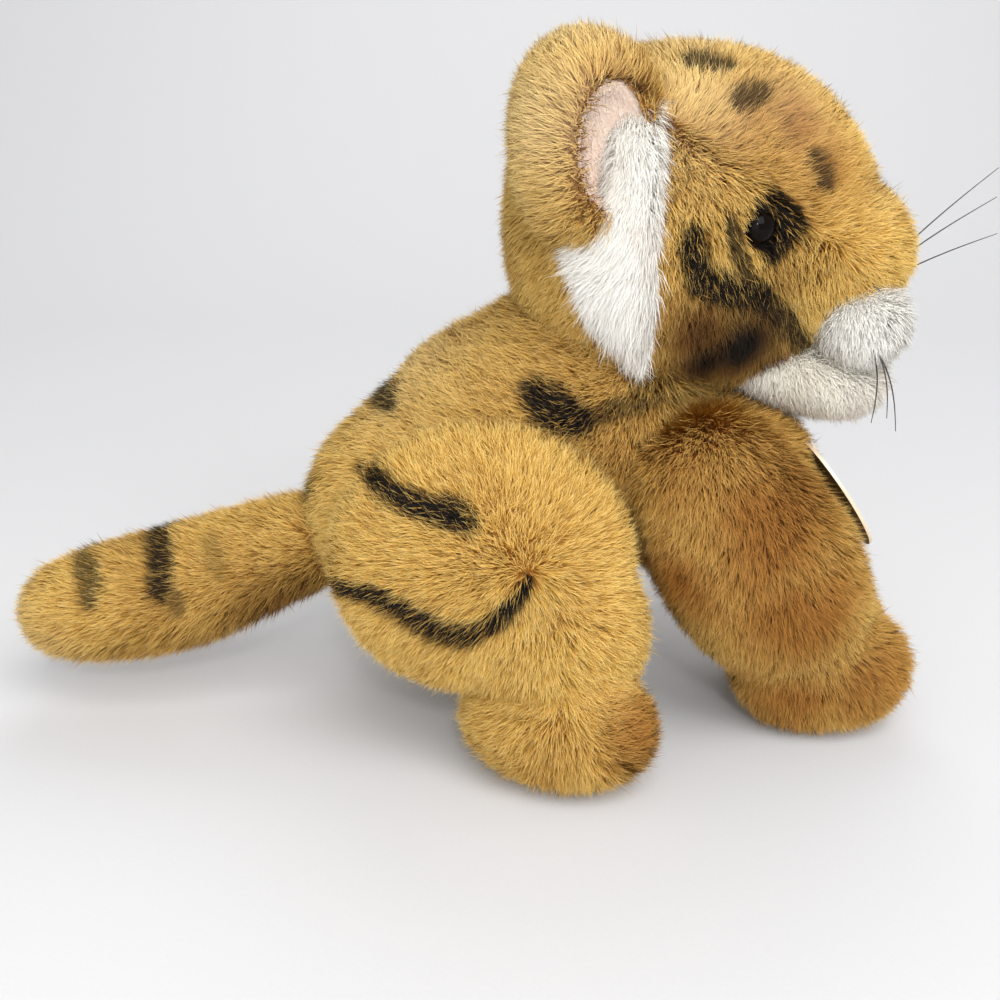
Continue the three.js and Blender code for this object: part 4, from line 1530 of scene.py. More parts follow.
def hind_leg(side: Side) -> Limb:
    """Gives a hind leg: a broad haunch, a short shin and a foot that turns out."""
    out = side.value
    haunch = Lump((-16, out * 51, 75), (49, 25, 45))
    shin = Lump((8, out * 55, 52), (30, 23, 32))
    foot = Lump((9, out * 60, 22), (34, 22, 22.5), out * 25)
    touches = (
        Touch((0, -76, 64), 16, way=(0.2, -0.1, -0.9), stand=0.8),
        Touch((-28, -74, 66), 20, way=(-0.9, -0.1, -0.2)),
        Touch((-34, -70, 88), 22, way=(-0.8, -0.1, 0.4)),
        Touch((-12, -72, 104), 22, way=(-0.15, 0.1, 0.9), stand=0.8),
        Touch((18, -72, 98), 20, way=(0.6, 0, 0.75)),
        Touch((30, -70, 74), 18, way=(0.95, 0, 0.1)),
        Touch((28, -70, 52), 16, way=(0.7, -0.1, -0.5)),
        Touch((-35, -65, 48), 20, way=(-0.5, -0.1, -0.8), russet_and_shade=0.1),
        Touch((-8, -76, 36), 14, way=(-0.1, -0.2, -0.95), russet_and_shade=0.15),
        Touch((35, -72, 26), 16, way=(0.8, -0.2, 0.45), russet_and_shade=0.15),
        Touch((12, -85, 14), 13, way=(0.05, -0.3, -0.95), russet_and_shade=0.3),
        Touch((634, 732), 14, russet_and_shade=0.95),
        Touch((560, 765), 14, russet_and_shade=0.35),
        Touch((-15, -72, 18), 16, way=(-0.9, -0.1, -0.2), russet_and_shade=0.2),
        Touch((10, -40, 25), 20, way=(0.3, 0.9, -0.2), russet_and_shade=0.45),
    )
    dimples = (
        Mark(((590, 722), (592, 738)), 7.0, 3.0, 0.2),
        Mark(((462, 690), (505, 696), (545, 702)), 5.0, 2.2, 0.3),
    )
    hinge = Hinge((-16, 0, 75), "Y", 8)
    return Limb(
        f"{side.word}_hind_leg",
        (haunch, shin, foot),
        hinge,
        Pile(lean_deg=42),
        touches,
        FLANK_STRIPES,
        dimples,
        seed=40 + side.value * 2,
    )


def tail() -> Limb:
    """Gives the tail: it thickens towards a blunt, greyish end."""
    line = Swell(
        points=((-62, 0, 63), (-78, 0, 63), (-128, 0, 45), (-185, 0, 33)),
        widths=(17.5, 17.5, 22, 23),
        depths=(17.5, 17.5, 22, 23),
        roundness=3.0,
    )
    touches = (
        Touch((-110, -15, 60), 45, way=(-0.9, -0.1, 0.2)),
        Touch((-165, -15, 45), 30, way=(-0.9, -0.1, -0.1)),
        Touch((-196, 0, 35), 16, way=(-0.9, -0.1, -0.3), cream_and_highlight=0.6, dark=0.2),
        Touch((-110, 0, 20), 30, way=(-0.7, -0.1, -0.7), russet_and_shade=0.6),
        Touch((-88, -8, 42), 18, russet_and_shade=0.8, dark=0.25),
        Touch((-128, -18, 48), 22, russet_and_shade=0.35),
        Touch((-178, -18, 18), 16, cream_and_highlight=0.35),
    )
    marks = (
        Mark(((156, 536), (164, 560), (160, 592)), 5.4, 0.97, 0.3),
        Mark(((86, 566), (94, 582), (92, 602)), 5.0, 0.8, 0.4),
        Mark(((214, 544), (220, 572)), 4.4, 0.35, 0.4),
        Mark(((24, 596), (34, 620), (48, 652)), 4.6, 0.6, 0.4),
        Mark(((292, 486), (304, 500)), 4.0, 0.6, 0.4),
        Mark(((176, 590), (178, 606)), 4.0, 0.6, 0.4),
    )
    hinge = Hinge((-66, 0, 63), "Z", 15)
    return Limb("tail", (line,), hinge, Pile(), touches, marks, seed=50)


CREASE = ((662, 118), (700, 140), (740, 165), (763, 180), (794, 207), (811, 232))


@dataclass
class Eye:
    """A glossy dome on a post, set in the head where the frame holds it."""

    side: Side
    radius: float = 5.3
    tall: float = 4.2
    brim_share: float = 0.96
    brim_thick: float = 0.5
    back_thick: float = 0.7
    post_radius: float = 1.4
    post_long: float = 7.0
    sunk: float = 4.3
    rings: int = 12
    sides: int = 48

    def profile(self) -> list[tuple[float, float]]:
        """Gives the dome's half outline, from its top to the post's end, as widths and heights."""
        arc = []
        for step in range(self.rings + 1):
            angle = math.pi / 2 * (1 - step / self.rings)
            arc.append((self.radius * math.cos(angle), self.tall * math.sin(angle)))
        post = (
            (self.radius * self.brim_share, -self.brim_thick),
            (self.post_radius, -self.back_thick),
            (self.post_radius, -self.post_long),
            (0, -self.post_long),
        )
        return [(0, self.tall), *arc[1:], *post]

    def dress(self, cloth: bpy.types.Object) -> bpy.types.Object:
        """Makes the eye where it sits in the head's cloth and hands it over."""
        node = f"{self.side.word}_eye"
        low, high = (Vector(corner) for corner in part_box(node))
        middle = (low + high) / 2
        _, normal, _, _ = tree_of(cloth).find_nearest(middle)
        outer = Vector((middle.x, low.y if self.side is Side.RIGHT else high.y, middle.z))
        seat = outer - normal * (self.sunk * MM)
        mesh = bmesh.new()
        profile = [mesh.verts.new((wide * MM, 0, up * MM)) for wide, up in self.profile()]
        edges = [mesh.edges.new(pair) for pair in zip(profile, profile[1:])]
        about = {"axis": (0, 0, 1), "cent": (0, 0, 0), "angle": math.tau}
        bmesh.ops.spin(mesh, geom=[*profile, *edges], steps=self.sides, use_merge=True, **about)
        bmesh.ops.remove_doubles(mesh, verts=mesh.verts, dist=MERGE * MM)
        turn = Vector((0, 0, 1)).rotation_difference(normal).to_matrix().to_4x4()
        bmesh.ops.transform(mesh, matrix=Matrix.Translation(seat) @ turn, verts=mesh.verts)
        piece = new_piece(f"{node}_dome", mesh)
        WARDROBE.put_on(piece, EYE_GLOSS)
        return report(piece, "head", (node,))


@dataclass
class NosePad:
    """The stitched nose pad over the frame's nose: narrow below, with a cleft down its middle."""

    deeper_share: float = 1.15
    narrow_share: float = 0.55
    narrow_power: float = 1.3
    cleft_share: float = 0.10
    cleft_wide_share: float = 0.07
    sides: int = 40
    rings: int = 24

    def dress(self) -> None:
        """Makes the pad and hands it over."""
        low, high = (Vector(corner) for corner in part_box("nose"))
        middle, size = (low + high) / 2, high - low
        mesh = bmesh.new()
        bmesh.ops.create_uvsphere(mesh, u_segments=self.sides, v_segments=self.rings, radius=0.5)
        for vertex in mesh.verts:
            forward, across, up = vertex.co
            narrow = 1 - self.narrow_share * max(0.0, -up * 2) ** self.narrow_power
            cleft = self.cleft_share * math.exp(-((across / self.cleft_wide_share) ** 2)) * (0.5 - up)
            shape = ((forward - max(0.0, cleft)) * size.x * self.deeper_share, across * narrow * size.y)
            vertex.co = middle + Vector((*shape, up * size.z))
        piece = new_piece("nose_pad", mesh)
        WARDROBE.put_on(piece, NOSE_CLOTH)
        report(piece, "head", ("nose",))


@dataclass
class Head:
    """The head: a stuffed skull with a snout, white lips and chin, eyes and nose."""

    cell: float = 2.0
    rounds: int = 8
    inset: float = 3.6
    white_inset: float = 3.0
    lip_cell: float = 1.4
    lip_rounds: int = 4
    chin_cell: float = 1.6
    chin_rounds: int = 2
    keep_off: float = 1.6
    white_keep_off: float = 1.2
    fill: float = 0.95
    white_fill: float = 0.9
    seed: int = 61
    white_seed: int = 66
    skull: Swell = Swell(
        points=(on_head(-61, 0, 0), on_head(-30.5, 0, 0), HEAD, on_head(31, 0, 0), on_head(62, 0, 0)),
        widths=(54, 54, 45, 36, 36),
        depths=(57, 57, 57, 54.5, 47),
        roundness=2.3,
    )
    snout: Lump = Lump(on_head(38, 0, -9), (38, 26, 27))
    lobes: tuple[Lump, Lump] = tuple(
        Lump(on_head(57, side.value * 12.5, -31), (16.5, 16, 15)) for side in Side
    )
    chin_form: Swell = Swell(
        points=(on_head(4, 0, -45), on_head(37, 0, -50), on_head(70, 0, -55.5)),
        widths=(12, 19, 25),
        depths=(8, 14, 15),
        roundness=2.4,
        sides=48,
        rings=32,
    )
    pile: Pile = Pile(long=8.6, close=3.9, lean_deg=36)
    lip_pile: Pile = Pile(long=7.5, close=4.6, lean_deg=40, tone=0.12, clump=0.12, swirl=0.5, under=0.5)
    touches: tuple[Touch, ...] = (
        # The cream on the top and back of the head and on the snout's top is a painted highlight on the
        # pile's tips.
        Touch(on_head(-6, -40, 50), 24, way=(0.0, -0.1, 0.9), stand=0.8, cream_and_highlight=0.35),
        Touch(on_head(-8, 0, 58), 24, cream_and_highlight=0.3),
        Touch(on_head(28, -22, 46), 22, way=(0.6, -0.1, 0.7), stand=0.7, cream_and_highlight=0.15),
        *parted(CREASE, above=(0.7, -0.1, 0.6), below=(0.1, -0.1, -0.95)),
        Touch((738, 125), 13, russet_and_shade=0.75),
        Touch((784, 130), 15, way=(0.8, -0.1, 0.4), russet_and_shade=1.0),
        Touch((812, 168), 13, way=(0.8, -0.2, 0.3), russet_and_shade=0.85),
        Touch((845, 195), 11, way=(0.8, -0.2, 0.2), russet_and_shade=0.4),
        Touch(on_head(-4, -52, 18), 15, way=(0.0, -0.1, -0.95), russet_and_shade=0.2),
        Touch(on_head(10, -46, 5), 12, way=(0.1, -0.1, -0.95), russet_and_shade=0.3),
        Touch(on_head(-12, -54, -8), 10, russet_and_shade=0.75),
        Touch(on_head(28, -37, -12), 13, way=(0.1, -0.3, -0.9), stand=0.6, russet_and_shade=0.55),
        Touch(on_head(58, -20, 4), 11, way=(0.75, -0.2, 0.5)),
        Touch(on_head(62, -20, -8), 10, way=(0.9, -0.3, -0.1)),
        Touch(on_head(47, -28, -17), 9, way=(0.1, -0.4, -0.9)),
        Touch(on_head(36, -32, -8), 10, way=(-0.7, -0.4, -0.3)),
        Touch(on_head(62, -8, 14), 13, way=(0.7, 0, 0.5), stand=0.8, cream_and_highlight=0.1),
        Touch(on_head(58, -22, -15), 10, way=(0.3, -0.35, -0.85), long=1.1),
        Touch(on_head(74, -6, -10), 10, way=(0.5, -0.1, -0.85)),
        Touch((672, 305), 12, way=(-0.1, -0.3, -0.9), russet_and_shade=0.6),
        Touch((700, 322), 13, way=(-0.1, -0.3, -0.95), russet_and_shade=1.2, dark=0.75),
        Touch((738, 334), 16, way=(0.0, -0.3, -0.95), russet_and_shade=1.2, dark=1.1),
        Touch((704, 348), 14, way=(0.0, -0.3, -0.95), russet_and_shade=1.2, dark=1.0),
        Touch((768, 350), 9, russet_and_shade=1.0, dark=0.7),
        Touch((768, 374), 7, way=(0.05, -0.2, -0.95), long=1.35, russet_and_shade=0.5),
        Touch((800, 350), 8, way=(0.15, -0.2, -0.95), long=1.5, russet_and_shade=0.3),
        Touch((842, 312), 8, way=(0.2, -0.2, -0.95), long=1.2),
        Touch(on_head(38, -30, -30), 9, way=(0.3, -0.3, -0.9), long=1.15, russet_and_shade=0.3),
        Touch(on_head(-50, 0, 10), 40, way=(-0.6, -0.1, -0.75)),
        Touch(on_head(-40, 0, 50), 26, way=(-0.7, -0.1, 0.5), cream_and_highlight=0.15),
        Touch(on_head(19.7, -40, 3.4), 8.5, long=0.3, stand=1.2),
        Touch(on_head(74, 0, -24), 6, long=0.35),
    )
    grooves: tuple[Mark, ...] = (
        Mark(CREASE, 2.6, 2.6, 0.4),
    )
    marks: tuple[Mark, ...] = (
        Mark(((684, 71), (704, 72), (724, 76)), 5.2, 0.9, 0.4),
        Mark(((731, 110), (756, 97)), 5.0, 0.85, 0.4),
        Mark(((806, 158), (815, 172), (820, 186)), 4.2, 0.85, 0.4),
        Mark(((688, 238), (689, 258), (696, 282)), 5.6, 1.0, 0.2),
        Mark(((724, 222), (731, 246), (742, 280)), 4.0, 0.9, 0.4),
        Mark(((696, 280), (725, 289), (755, 293)), 6.4, 1.0, 0.2),
        Mark(((752, 288), (772, 312), (797, 337)), 5.0, 0.95, 0.4),
        Mark(((757, 210), (774, 206), (788, 218)), 4.6, 1.0, 0.2),
        Mark(((776, 224), (790, 228)), 5.0, 1.0, 0.1),
        Mark(((754, 214), (758, 236), (767, 255)), 4.6, 1.0, 0.3),
        Mark(((768, 250), (784, 238)), 4.2, 1.0, 0.3),
        # Painted shade in the seam's crease: the line is drawn russet and dark over its groove.
        Mark(CREASE, 2.8, 0.9, 0.5, shade="russet_and_shade"),
        Mark(CREASE[:5], 1.3, 0.6, 0.5),
    )
    lip_touches: tuple[Touch, ...] = (
        Touch(on_head(58, -33, -30), 20, way=(0.1, -0.4, -0.9), stand=0.8),
        Touch(on_head(75, 0, -28), 18, way=(0.75, -0.3, -0.5), stand=0.8),
        Touch(on_head(54, -16, -16), 12, way=(0.2, -0.6, -0.6), long=0.6, stand=1.3),
        Touch(on_head(74, 0, -24), 6, long=0.35),
    )
    chin_touches: tuple[Touch, ...] = (
        Touch(on_head(38, -25, -52), 34, way=(0.25, -0.4, -0.85), cream_and_highlight=0.22),
        Touch(on_head(72, 0, -55), 20, way=(0.7, -0.2, -0.6)),
        Touch(on_head(10, -20, -46), 20, way=(-0.3, -0.5, -0.7), long=0.8),
    )
    cloth: bpy.types.Object = field(init=False)
    lips: bpy.types.Object = field(init=False)
    chin: bpy.types.Object = field(init=False)

    def build(self) -> None:
        """Makes the three cloths."""
        below = block_beyond(NECK, -NECK_AXIS, -SEAM_GAP / 2)
        self.cloth = melted("head_cloth", (self.skull, self.snout), self.inset, self.cell, self.rounds)
        sunk_along(self.cloth, self.grooves)
        white = self.white_inset
        self.lips = melted("muzzle_cloth", self.lobes, white, self.lip_cell, self.lip_rounds)
        self.chin = melted("chin_cloth", (self.chin_form,), white, self.chin_cell, self.chin_rounds)
        carved(self.cloth, below)
        kept_clear(self.lips, self.cloth, None, SEAM_GAP)
        kept_clear(self.chin, self.cloth, None, SEAM_GAP)
        kept_clear(self.chin, self.lips, None, SEAM_GAP)
        carved(self.lips, below)
        carved(self.chin, below)
        discard(below)

    def dress(self, around: Sequence[bpy.types.Object], bare: tuple[Lump, ...]) -> None:
        """Roots the pile, sets eyes and nose, and hands the pieces over.

        Args:
            around: The pieces that the pile stays off.
            bare: The forms of the ears, inside which no pile stands on the head.
        """
        eyes = [Eye(side).dress(self.cloth) for side in Side]
        coat = Coat(
            self.cloth,
            self.pile,
            self.touches,
            self.marks,
            neighbours=(self.lips, self.chin, *eyes, *around),
            seed=self.seed,
            keep_off=self.keep_off,
            bare=bare,
        )
        furred("head", coat, "head", GOLDEN_PILE, halved=True)
        rows = (
            ("muzzle", self.lips, self.lip_touches, "muzzle_skin"),
            ("chin", self.chin, self.chin_touches, "chin_skin"),
        )
        for index, (name, cloth, touches, node) in enumerate(rows):
            near, seed = (self.cloth,), self.white_seed + index
            coat = Coat(cloth, self.lip_pile, touches, (), near, seed, self.white_keep_off)
            furred(name, coat, "head", WHITE_PILE)
            WARDROBE.put_on(cloth, WHITE_BACKING)
            report(cloth, "head", (node,))
        WARDROBE.put_on(self.cloth, GOLDEN_BACKING)
        report(self.cloth, "head", ("head_skin", "head_stuffing"))
        NosePad().dress()
        for side in Side:
            WARDROBE.put_on(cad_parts[f"{side.word}_eye_washer"], WASHER_PLASTIC)


@dataclass
class Whiskers:
    """Stiff nylon filaments out of one root on a side of the muzzle."""

    side: Side
    forward: float
    ways: tuple[Triple, ...]
    longs: tuple[float, ...]
    bow: Triple
    up: float = -28.0
    out: float = 80.0
    radius: float = 0.28
    taper: float = 0.55
    rooted: float = 2.5
    apart: float = 0.5
    turn_apart: float = 2.4
    steps: int = 14

    def on_side(self, way: Triple) -> Vector:
        """Gives a direction as it is on this side of the toy."""
        return Vector((way[0], way[1] * self.side.value, way[2]))

    def dress(self, lips: bpy.types.Object) -> None:
        """Makes the filaments as thin, bowed tubes."""
        beside = Vector(to_frame(on_head(self.forward, self.side.value * self.out, self.up)))
        root, normal, _, _ = tree_of(lips).ray_cast(beside, Vector((0, -self.side.value, 0)))
        curve = bpy.data.curves.new(f"{self.side.word}_whisker_tuft", "CURVE")
        curve.dimensions = "3D"
        curve.bevel_depth = self.radius * MM
        curve.bevel_resolution = 1
        curve.use_fill_caps = True
        for index, (way, long) in enumerate(zip(self.ways, self.longs)):
            direction = self.on_side(way).normalized()
            turn = index * self.turn_apart
            aside = Vector((math.cos(turn), 0, math.sin(turn))) * (self.apart * MM)
            start = root - normal * (self.rooted * MM) + aside
            spline = curve.splines.new("POLY")
            spline.points.add(self.steps - 1)
            for step, point in enumerate(spline.points):
                share = step / (self.steps - 1)
                bent = self.on_side(self.bow) * (math.sin(math.pi * share) * MM)
                point.co = (*(start + direction * (long * share * MM) + bent), 1)
                point.radius = 1 - self.taper * share**2
        tube = bpy.data.objects.new(curve.name, curve)
        bpy.context.scene.collection.objects.link(tube)
        graph = bpy.context.evaluated_depsgraph_get()
        data = bpy.data.meshes.new_from_object(tube.evaluated_get(graph))
        name = tube.name
        bpy.data.curves.remove(curve)
        piece = bpy.data.objects.new(name, data)
        data.shade_smooth()
        bpy.context.scene.collection.objects.link(piece)
        WARDROBE.put_on(piece, NYLON)
        report(piece, "head", (f"{self.side.word}_whiskers",))


DROOPING_WHISKERS = Whiskers(
    Side.RIGHT,
    forward=54,
    ways=((0.10, 0.30, -0.95), (0.26, 0.34, -0.90), (0.31, 0.30, -0.90)),
    longs=(34, 34, 38),
    bow=(3.3, 0.6, 0.6),
)
RAISED_WHISKERS = Whiskers(
    Side.LEFT,
    forward=64,
    ways=((0.75, 0.32, 0.59), (0.82, 0.34, 0.47), (0.88, 0.36, 0.30)),
    longs=(72.7, 68, 64.3),
    bow=(-0.4, 1.0, 1.2),
)


@dataclass
class Ear:
    """A cupped ear: pile cloth outside, short pink cloth inside."""

    side: Side
    place: Triple = (-36, 43, 29)
    half: Triple = (19, 24.5, 31.5)
    facing_deg: float = 52.0
    mouth: float = 10.0
    lining_back: float = 0.8
    inset: float = 3.2
    wall: float = 2.4
    hollow: float = 6.5
    rim: float = 1.4
    cell: float = 1.1
    rounds: int = 2
    ruff_gap: float = 1.0
    fold_place: Triple = (-30, 26, 0)
    fold_deg: float = 10.0
    cup_keep_off: float = 0.9
    cup_least: float = -0.15
    nap_keep_off: float = 0.6
    nap_focus: float = 40.0
    cup_fill: float = 0.3
    lining_fill: float = 0.2
    cup_seed: int = 80
    nap_seed: int = 86
    pile: Pile = Pile(long=9.8, close=3.6, lean_deg=44)
    nap: Pile = Pile(long=2.0, wide=0.2, close=5.0, lean_deg=52, clump=0.1, under=0.3)
    cup: bpy.types.Object = field(init=False)
    lining: bpy.types.Object = field(init=False)

    def beside_head(self, place: Triple) -> Triple:
        """Gives a place on this side of the head."""
        return on_head(place[0], self.side.value * place[1], place[2])

    @property
    def middle(self) -> Triple:
        """The middle of the ear's round form."""
        return self.beside_head(self.place)

    @property
    def form(self) -> Lump:
        """The ear's round form."""
        return Lump(self.middle, self.half, self.facing_deg * self.side.value)

    @property
    def facing(self) -> Vector:
        """The way in which the cup opens."""
        turn = math.radians(self.facing_deg * self.side.value)
        return Vector((math.cos(turn), math.sin(turn), 0))

    @property
    def body(self) -> str:
        """The body that the ear is."""
        return f"{self.side.word}_ear"

    def cushion(self, name: str, inset: float, mouth: float, hollow: Lump) -> bpy.types.Object:
        """Makes the ear's form, cut off in front and hollowed.

        Args:
            name: The piece's name.
            inset: How far the ear's form is drawn in.
            mouth: How far in front of the form's middle it is cut off.
            hollow: What is taken out of it.
        Returns:
            The piece, evenly divided.
        """
        mesh = bmesh.new()
        self.form.add_to(mesh, inset)
        piece = new_piece(name, mesh)
        front = block_beyond(self.middle, self.facing, mouth)
        mesh = bmesh.new()
        hollow.add_to(mesh, 0.0)
        room = new_piece("room", mesh)
        carved(piece, front, room)
        discard(front, room)
        divided_evenly(piece, self.cell, self.rounds)
        return piece

    def build(self, head: Head, ruff: bpy.types.Object) -> None:
        """Makes the cup and its lining, clear of the head as the ear folds."""
        seated = self.inset + self.wall + SEAM_GAP
        size = np.array(self.half) - seated
        inside = Lump(self.middle, tuple(size + SEAM_GAP), self.form.turn_deg)
        self.cup = self.cushion(f"{self.body}_cup", self.inset, self.mouth, inside)
        mouth = self.mouth - self.lining_back
        open_share = math.sqrt(1 - (mouth / size[0]) ** 2)
        dish = (self.hollow, size[1] * open_share - self.rim, size[2] * open_share - self.rim)
        front = tuple(Vector(self.middle) + self.facing * mouth)
        dished = Lump(front, dish, self.form.turn_deg)
        self.lining = self.cushion(f"{self.body}_lining_cloth", seated, mouth, dished)
        hinge = Hinge(self.beside_head(self.fold_place), "Z", self.fold_deg)
        for piece in (self.cup, self.lining):
            kept_clear(piece, head.cloth, hinge)
            kept_clear(piece, ruff, hinge, self.ruff_gap)
            piece.data.shade_smooth()

    def dress(self, around: Sequence[bpy.types.Object]) -> None:
        """Roots the pile on the outside and hands the pieces over."""
        touches = (
            # The cream on the back and the top of the ear is a painted highlight on the pile's tips.
            Touch(on_head(-58, -46, 30), 24, way=(-0.9, 0, 0.1), cream_and_highlight=0.25),
            Touch(on_head(-40, -40, 62), 20, way=(-0.2, 0, 0.9), cream_and_highlight=0.35),
            Touch(on_head(-50, -44, 4), 18, way=(-0.7, 0, -0.3), russet_and_shade=0.1),
            Touch(on_head(-22, -60, 56), 12, way=(0.3, -0.3, 0.8), long=0.8),
            Touch((548, 120), 22, cream_and_highlight=0.3),
            Touch((600, 45), 18, cream_and_highlight=0.4),
        )
        # Painted shade in the gap between the ear's pile and its lining: a dark line along the rim.
        seam = (Mark(((586, 82), (606, 76), (628, 78), (643, 90)), 1.3, 0.9, 0.3),)
        coat = Coat(
            self.cup,
            self.pile,
            touches,
            seam,
            neighbours=(self.lining, *around),
            seed=self.cup_seed + self.side.value,
            keep_off=self.cup_keep_off,
            outward=(self.middle, self.cup_least),
        )
        furred(self.body, coat, self.body, GOLDEN_PILE)
        combed = Touch(on_head(-36, -43, 29), 40, way=(0.1, -0.3, -0.9))
        coat = Coat(
            self.lining,
            self.nap,
            (combed,),
            neighbours=tuple(around),
            seed=self.nap_seed + self.side.value,
            keep_off=self.nap_keep_off,
            facing=tuple(Vector(self.middle) + self.facing * self.nap_focus),
        )
        furred(f"{self.body}_lining", coat, self.body, PINK_NAP)
        WARDROBE.put_on(self.cup, GOLDEN_BACKING)
        report(self.cup, self.body, (f"{self.body}_back",))
        WARDROBE.put_on(self.lining, EAR_VELOUR)
        report(self.lining, self.body, (f"{self.body}_lining",))


@dataclass
class Ruff:
    """A strip of long white pile between ear and cheek."""

    side: Side
    front: float = -18.0
    outline: tuple[tuple[float, float], ...] = (
        (0, -38), (0, 39.5), (-9, 39.5), (-11, 18), (-21, -2), (-15, -22), (-2, -38),
    )
    lift: float = 1.2
    clearance: float = 0.6
    inner: float = 10.0
    deep: float = 100.0
    least: float = 0.35
    fill: float = 0.5
    seed: int = 90
    pile: Pile = Pile(long=11.0, close=6.0, lean_deg=60, stray=0.24, tone=0.12, clump=0.15, under=0.5)
    pad: bpy.types.Object = field(init=False)

    def build(self, head: Head) -> None:
        """Makes the pad that the pile stands on, along the side of the head."""
        mesh = bmesh.new()
        head.skull.add_to(mesh, -self.lift)
        self.pad = new_piece(f"{self.side.word}_ruff_pad", mesh)
        kept_clear(self.pad, head.cloth, None, self.clearance)
        block = bmesh.new()
        line = [
            block.verts.new(to_frame(on_head(self.front + forward, self.side.value * self.inner, up)))
            for forward, up in self.outline
        ]
        face = block.faces.new(line)
        grown = bmesh.ops.extrude_face_region(block, geom=[face])
        far = [item for item in grown["geom"] if isinstance(item, bmesh.types.BMVert)]
        bmesh.ops.translate(block, verts=far, vec=(0, self.side.value * self.deep * MM, 0))
        column = new_piece("column", block)
        carved(self.pad, column, operation="INTERSECT")
        discard(column)

    def dress(self) -> None:
        """Roots the long pile and hands the pieces over."""
        touches = (
            Touch(on_head(-24, -54, 42), 7, way=(0, -0.3, 0.9), stand=0.6, long=0.7),
            Touch(on_head(-24, -54, 32), 12, way=(-0.1, -0.1, -0.9), long=0.8),
            Touch(on_head(-26, -56, 10), 14, way=(-0.3, -0.1, -0.9), long=0.9),
            Touch(on_head(-38, -56, -4), 11, way=(-0.9, -0.1, -0.25), long=1.1),
            Touch(on_head(-30, -54, -22), 12, way=(-0.3, -0.1, -0.9)),
            Touch(on_head(-20, -50, -36), 11, way=(0.08, -0.1, -0.98)),
        )
        seed = self.seed + self.side.value
        coat = Coat(self.pad, self.pile, touches, seed=seed, outward=(HEAD, self.least))
        furred(f"{self.side.word}_ruff", coat, "head", WHITE_PILE)
        WARDROBE.put_on(self.pad, WHITE_BACKING)
        report(self.pad, "head", (f"{self.side.word}_cheek_ruff",))


@dataclass
class HangTag:
    """An oval card on a barbed plastic pin."""

    long: float = 46.0
    wide: float = 34.0
    thick: float = 1.2
    hole: float = 1.5
    hole_from_edge: float = 4.5
    edge_radius: float = 0.15
    edge_steps: int = 2
    sharp_turn: float = 1.0
    back_from: float = -0.5
    front_from: float = 0.9
    lean_deg: float = 33.7
    turn_deg: float = 9.0
    sides: int = 96

    def dress(self) -> None:
        """Makes the card and dresses the pin."""
        low, high = (Vector(corner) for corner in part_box("hang_tag"))
        mesh = bmesh.new()
        outer = bmesh.ops.create_circle(mesh, segments=self.sides, radius=1)["verts"]
        for vertex in outer:
            vertex.co = Vector((vertex.co.y * self.wide / 2, vertex.co.x * self.long / 2, 0)) * MM
        inner = bmesh.ops.create_circle(mesh, segments=self.sides, radius=self.hole * MM)["verts"]
        drop = (self.long / 2 - self.hole_from_edge) * MM
        for vertex in inner:
            vertex.co = Vector((vertex.co.y, vertex.co.x + drop, 0))
        bmesh.ops.bridge_loops(mesh, edges=mesh.edges)
        bmesh.ops.solidify(mesh, geom=mesh.faces, thickness=self.thick * MM)
        bmesh.ops.translate(mesh, verts=mesh.verts, vec=(0, 0, -self.thick * MM / 2))
        between = [edge for edge in mesh.edges if len(edge.link_faces) == 2]
        sharp = [edge for edge in between if edge.calc_face_angle(0) > self.sharp_turn]
        rounding = {"segments": self.edge_steps, "profile": 0.5, "affect": "EDGES", "material": -1}
        bmesh.ops.bevel(mesh, geom=sharp, offset=self.edge_radius * MM, offset_type="OFFSET", **rounding)
        upright = Matrix.Rotation(math.pi / 2, 4, "Z") @ Matrix.Rotation(math.pi / 2, 4, "X")
        lean = Matrix.Rotation(-math.radians(self.lean_deg), 4, "Y")
        turn = Matrix.Rotation(math.radians(self.turn_deg), 4, "Z")
        middle = (low + high) / 2
        bmesh.ops.transform(mesh, matrix=Matrix.Translation(middle) @ lean @ turn @ upright, verts=mesh.verts)
        card = new_piece("tag_card_sheet", mesh)
        normals = numbers(card.data.polygons, "normal")
        out = (lean @ turn) @ Vector((1, 0, 0))
        facing = normals @ np.array(out)
        sides = (("backside", facing < self.back_from), ("rim", np.abs(facing) < self.front_from))
        for name, values in sides:
            attribute = card.data.attributes.new(name, "FLOAT", "FACE")
            attribute.data.foreach_set("value", values.astype(np.float32))
        card.data.shade_flat()
        WARDROBE.put_on(card, TAG_CARD)
        report(card, "tag", ("hang_tag",))
        WARDROBE.put_on(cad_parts["tag_pin"], PIN_PLASTIC)


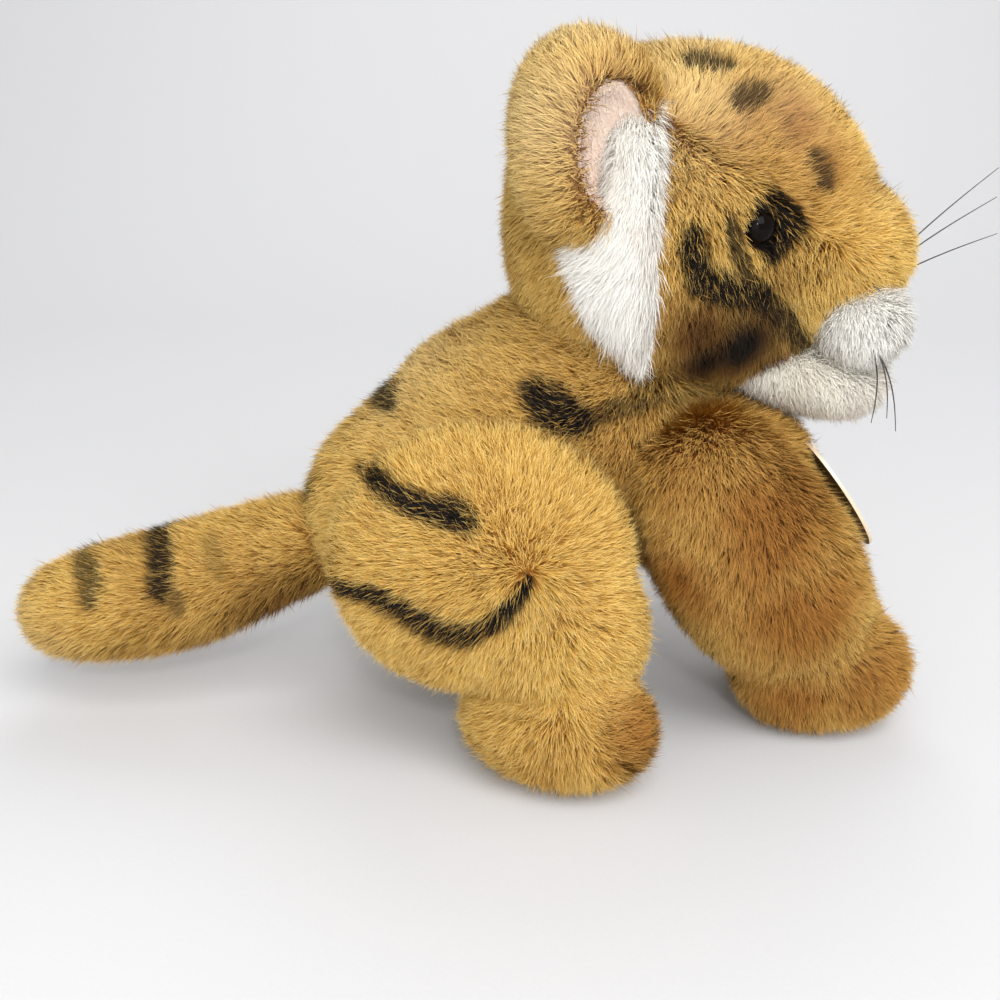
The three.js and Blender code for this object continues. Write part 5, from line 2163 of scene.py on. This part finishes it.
@dataclass
class Studio:
    """A pale paper sweep and soft lamps, in metres. Each lamp has a name, a place, a size and watts."""

    wide: float = 6.0
    front: float = -3.0
    back: float = 1.6
    tall: float = 3.0
    fillet: float = 0.9
    fillet_steps: int = 24
    sky: float = 0.5
    lamps: tuple[tuple[str, Triple, float, float], ...] = (
        ("key", (0.45, -1.05, 1.25), 1.2, 20.0),
        ("front", (-0.35, -1.7, 0.55), 1.4, 10.0),
        ("rim", (0.1, 1.2, 1.3), 1.2, 7.0),
        ("spark", (0.05, -1.0, 0.62), 0.10, 2.5),
    )
    aim: Triple = (0.0, 0.0, 0.1)

    def build(self) -> None:
        """Makes the sweep, the lamps and the world."""
        mesh = bmesh.new()
        spots = ((-1, self.front), (1, self.front), (1, self.back), (-1, self.back))
        corners = [(self.wide * across, along, 0) for across, along in spots]
        face = mesh.faces.new([mesh.verts.new(corner) for corner in corners])
        edge = max(face.edges, key=lambda item: item.verts[0].co.y + item.verts[1].co.y)
        grown = bmesh.ops.extrude_edge_only(mesh, edges=[edge])
        top = [item for item in grown["geom"] if isinstance(item, bmesh.types.BMVert)]
        bmesh.ops.translate(mesh, verts=top, vec=(0, 0, self.tall))
        rounding = {"segments": self.fillet_steps, "profile": 0.5, "affect": "EDGES", "material": -1}
        bmesh.ops.bevel(mesh, geom=[edge], offset=self.fillet, **rounding)
        paper = new_piece("paper_sweep", mesh)
        WARDROBE.put_on(paper, FloorFinish())
        world = bpy.data.worlds.new("studio")
        world.use_nodes = True
        world.node_tree.nodes["Background"].inputs["Color"].default_value = (1, 1, 1, 1)
        world.node_tree.nodes["Background"].inputs["Strength"].default_value = self.sky
        bpy.context.scene.world = world
        for name, place, size, power in self.lamps:
            light = bpy.data.lights.new(name, "AREA")
            light.size = size
            light.energy = power
            lamp = bpy.data.objects.new(name, light)
            lamp.location = place
            lamp.rotation_euler = (Vector(self.aim) - lamp.location).to_track_quat("-Z", "Y").to_euler()
            bpy.context.scene.collection.objects.link(lamp)


def main() -> None:
    """Builds the studio and the toy, in order."""
    logging.basicConfig(level=logging.INFO, format="%(message)s")
    noise.seed_set(SWIRL_SEED)
    bpy.context.scene.view_settings.view_transform = "Standard"
    PHOTO.set_up()
    Studio().build()
    torso = Torso()
    torso.build()
    head = Head()
    head.build()
    limbs = [front_leg(side) for side in Side] + [hind_leg(side) for side in Side] + [tail()]
    for limb in limbs:
        limb.build(torso)
    ruffs = [Ruff(side) for side in Side]
    ears = [Ear(side) for side in Side]
    for ruff, ear in zip(ruffs, ears):
        ruff.build(head)
        ear.build(head, ruff.pad)
    limb_cloths = [limb.cloth for limb in limbs]
    for limb in limbs:
        limb.dress([torso.cloth, torso.belly])
    for ruff, ear in zip(ruffs, ears):
        ear.dress([head.cloth, ruff.pad])
        ruff.dress()
    torso.dress([head.cloth, *limb_cloths])
    beside = [torso.cloth, *(ruff.pad for ruff in ruffs), *(ear.cup for ear in ears)]
    head.dress(beside, tuple(ear.form for ear in ears))
    for tuft in (DROOPING_WHISKERS, RAISED_WHISKERS):
        tuft.dress(head.lips)
    HangTag().dress()


if __name__ == "__main__":
    main()
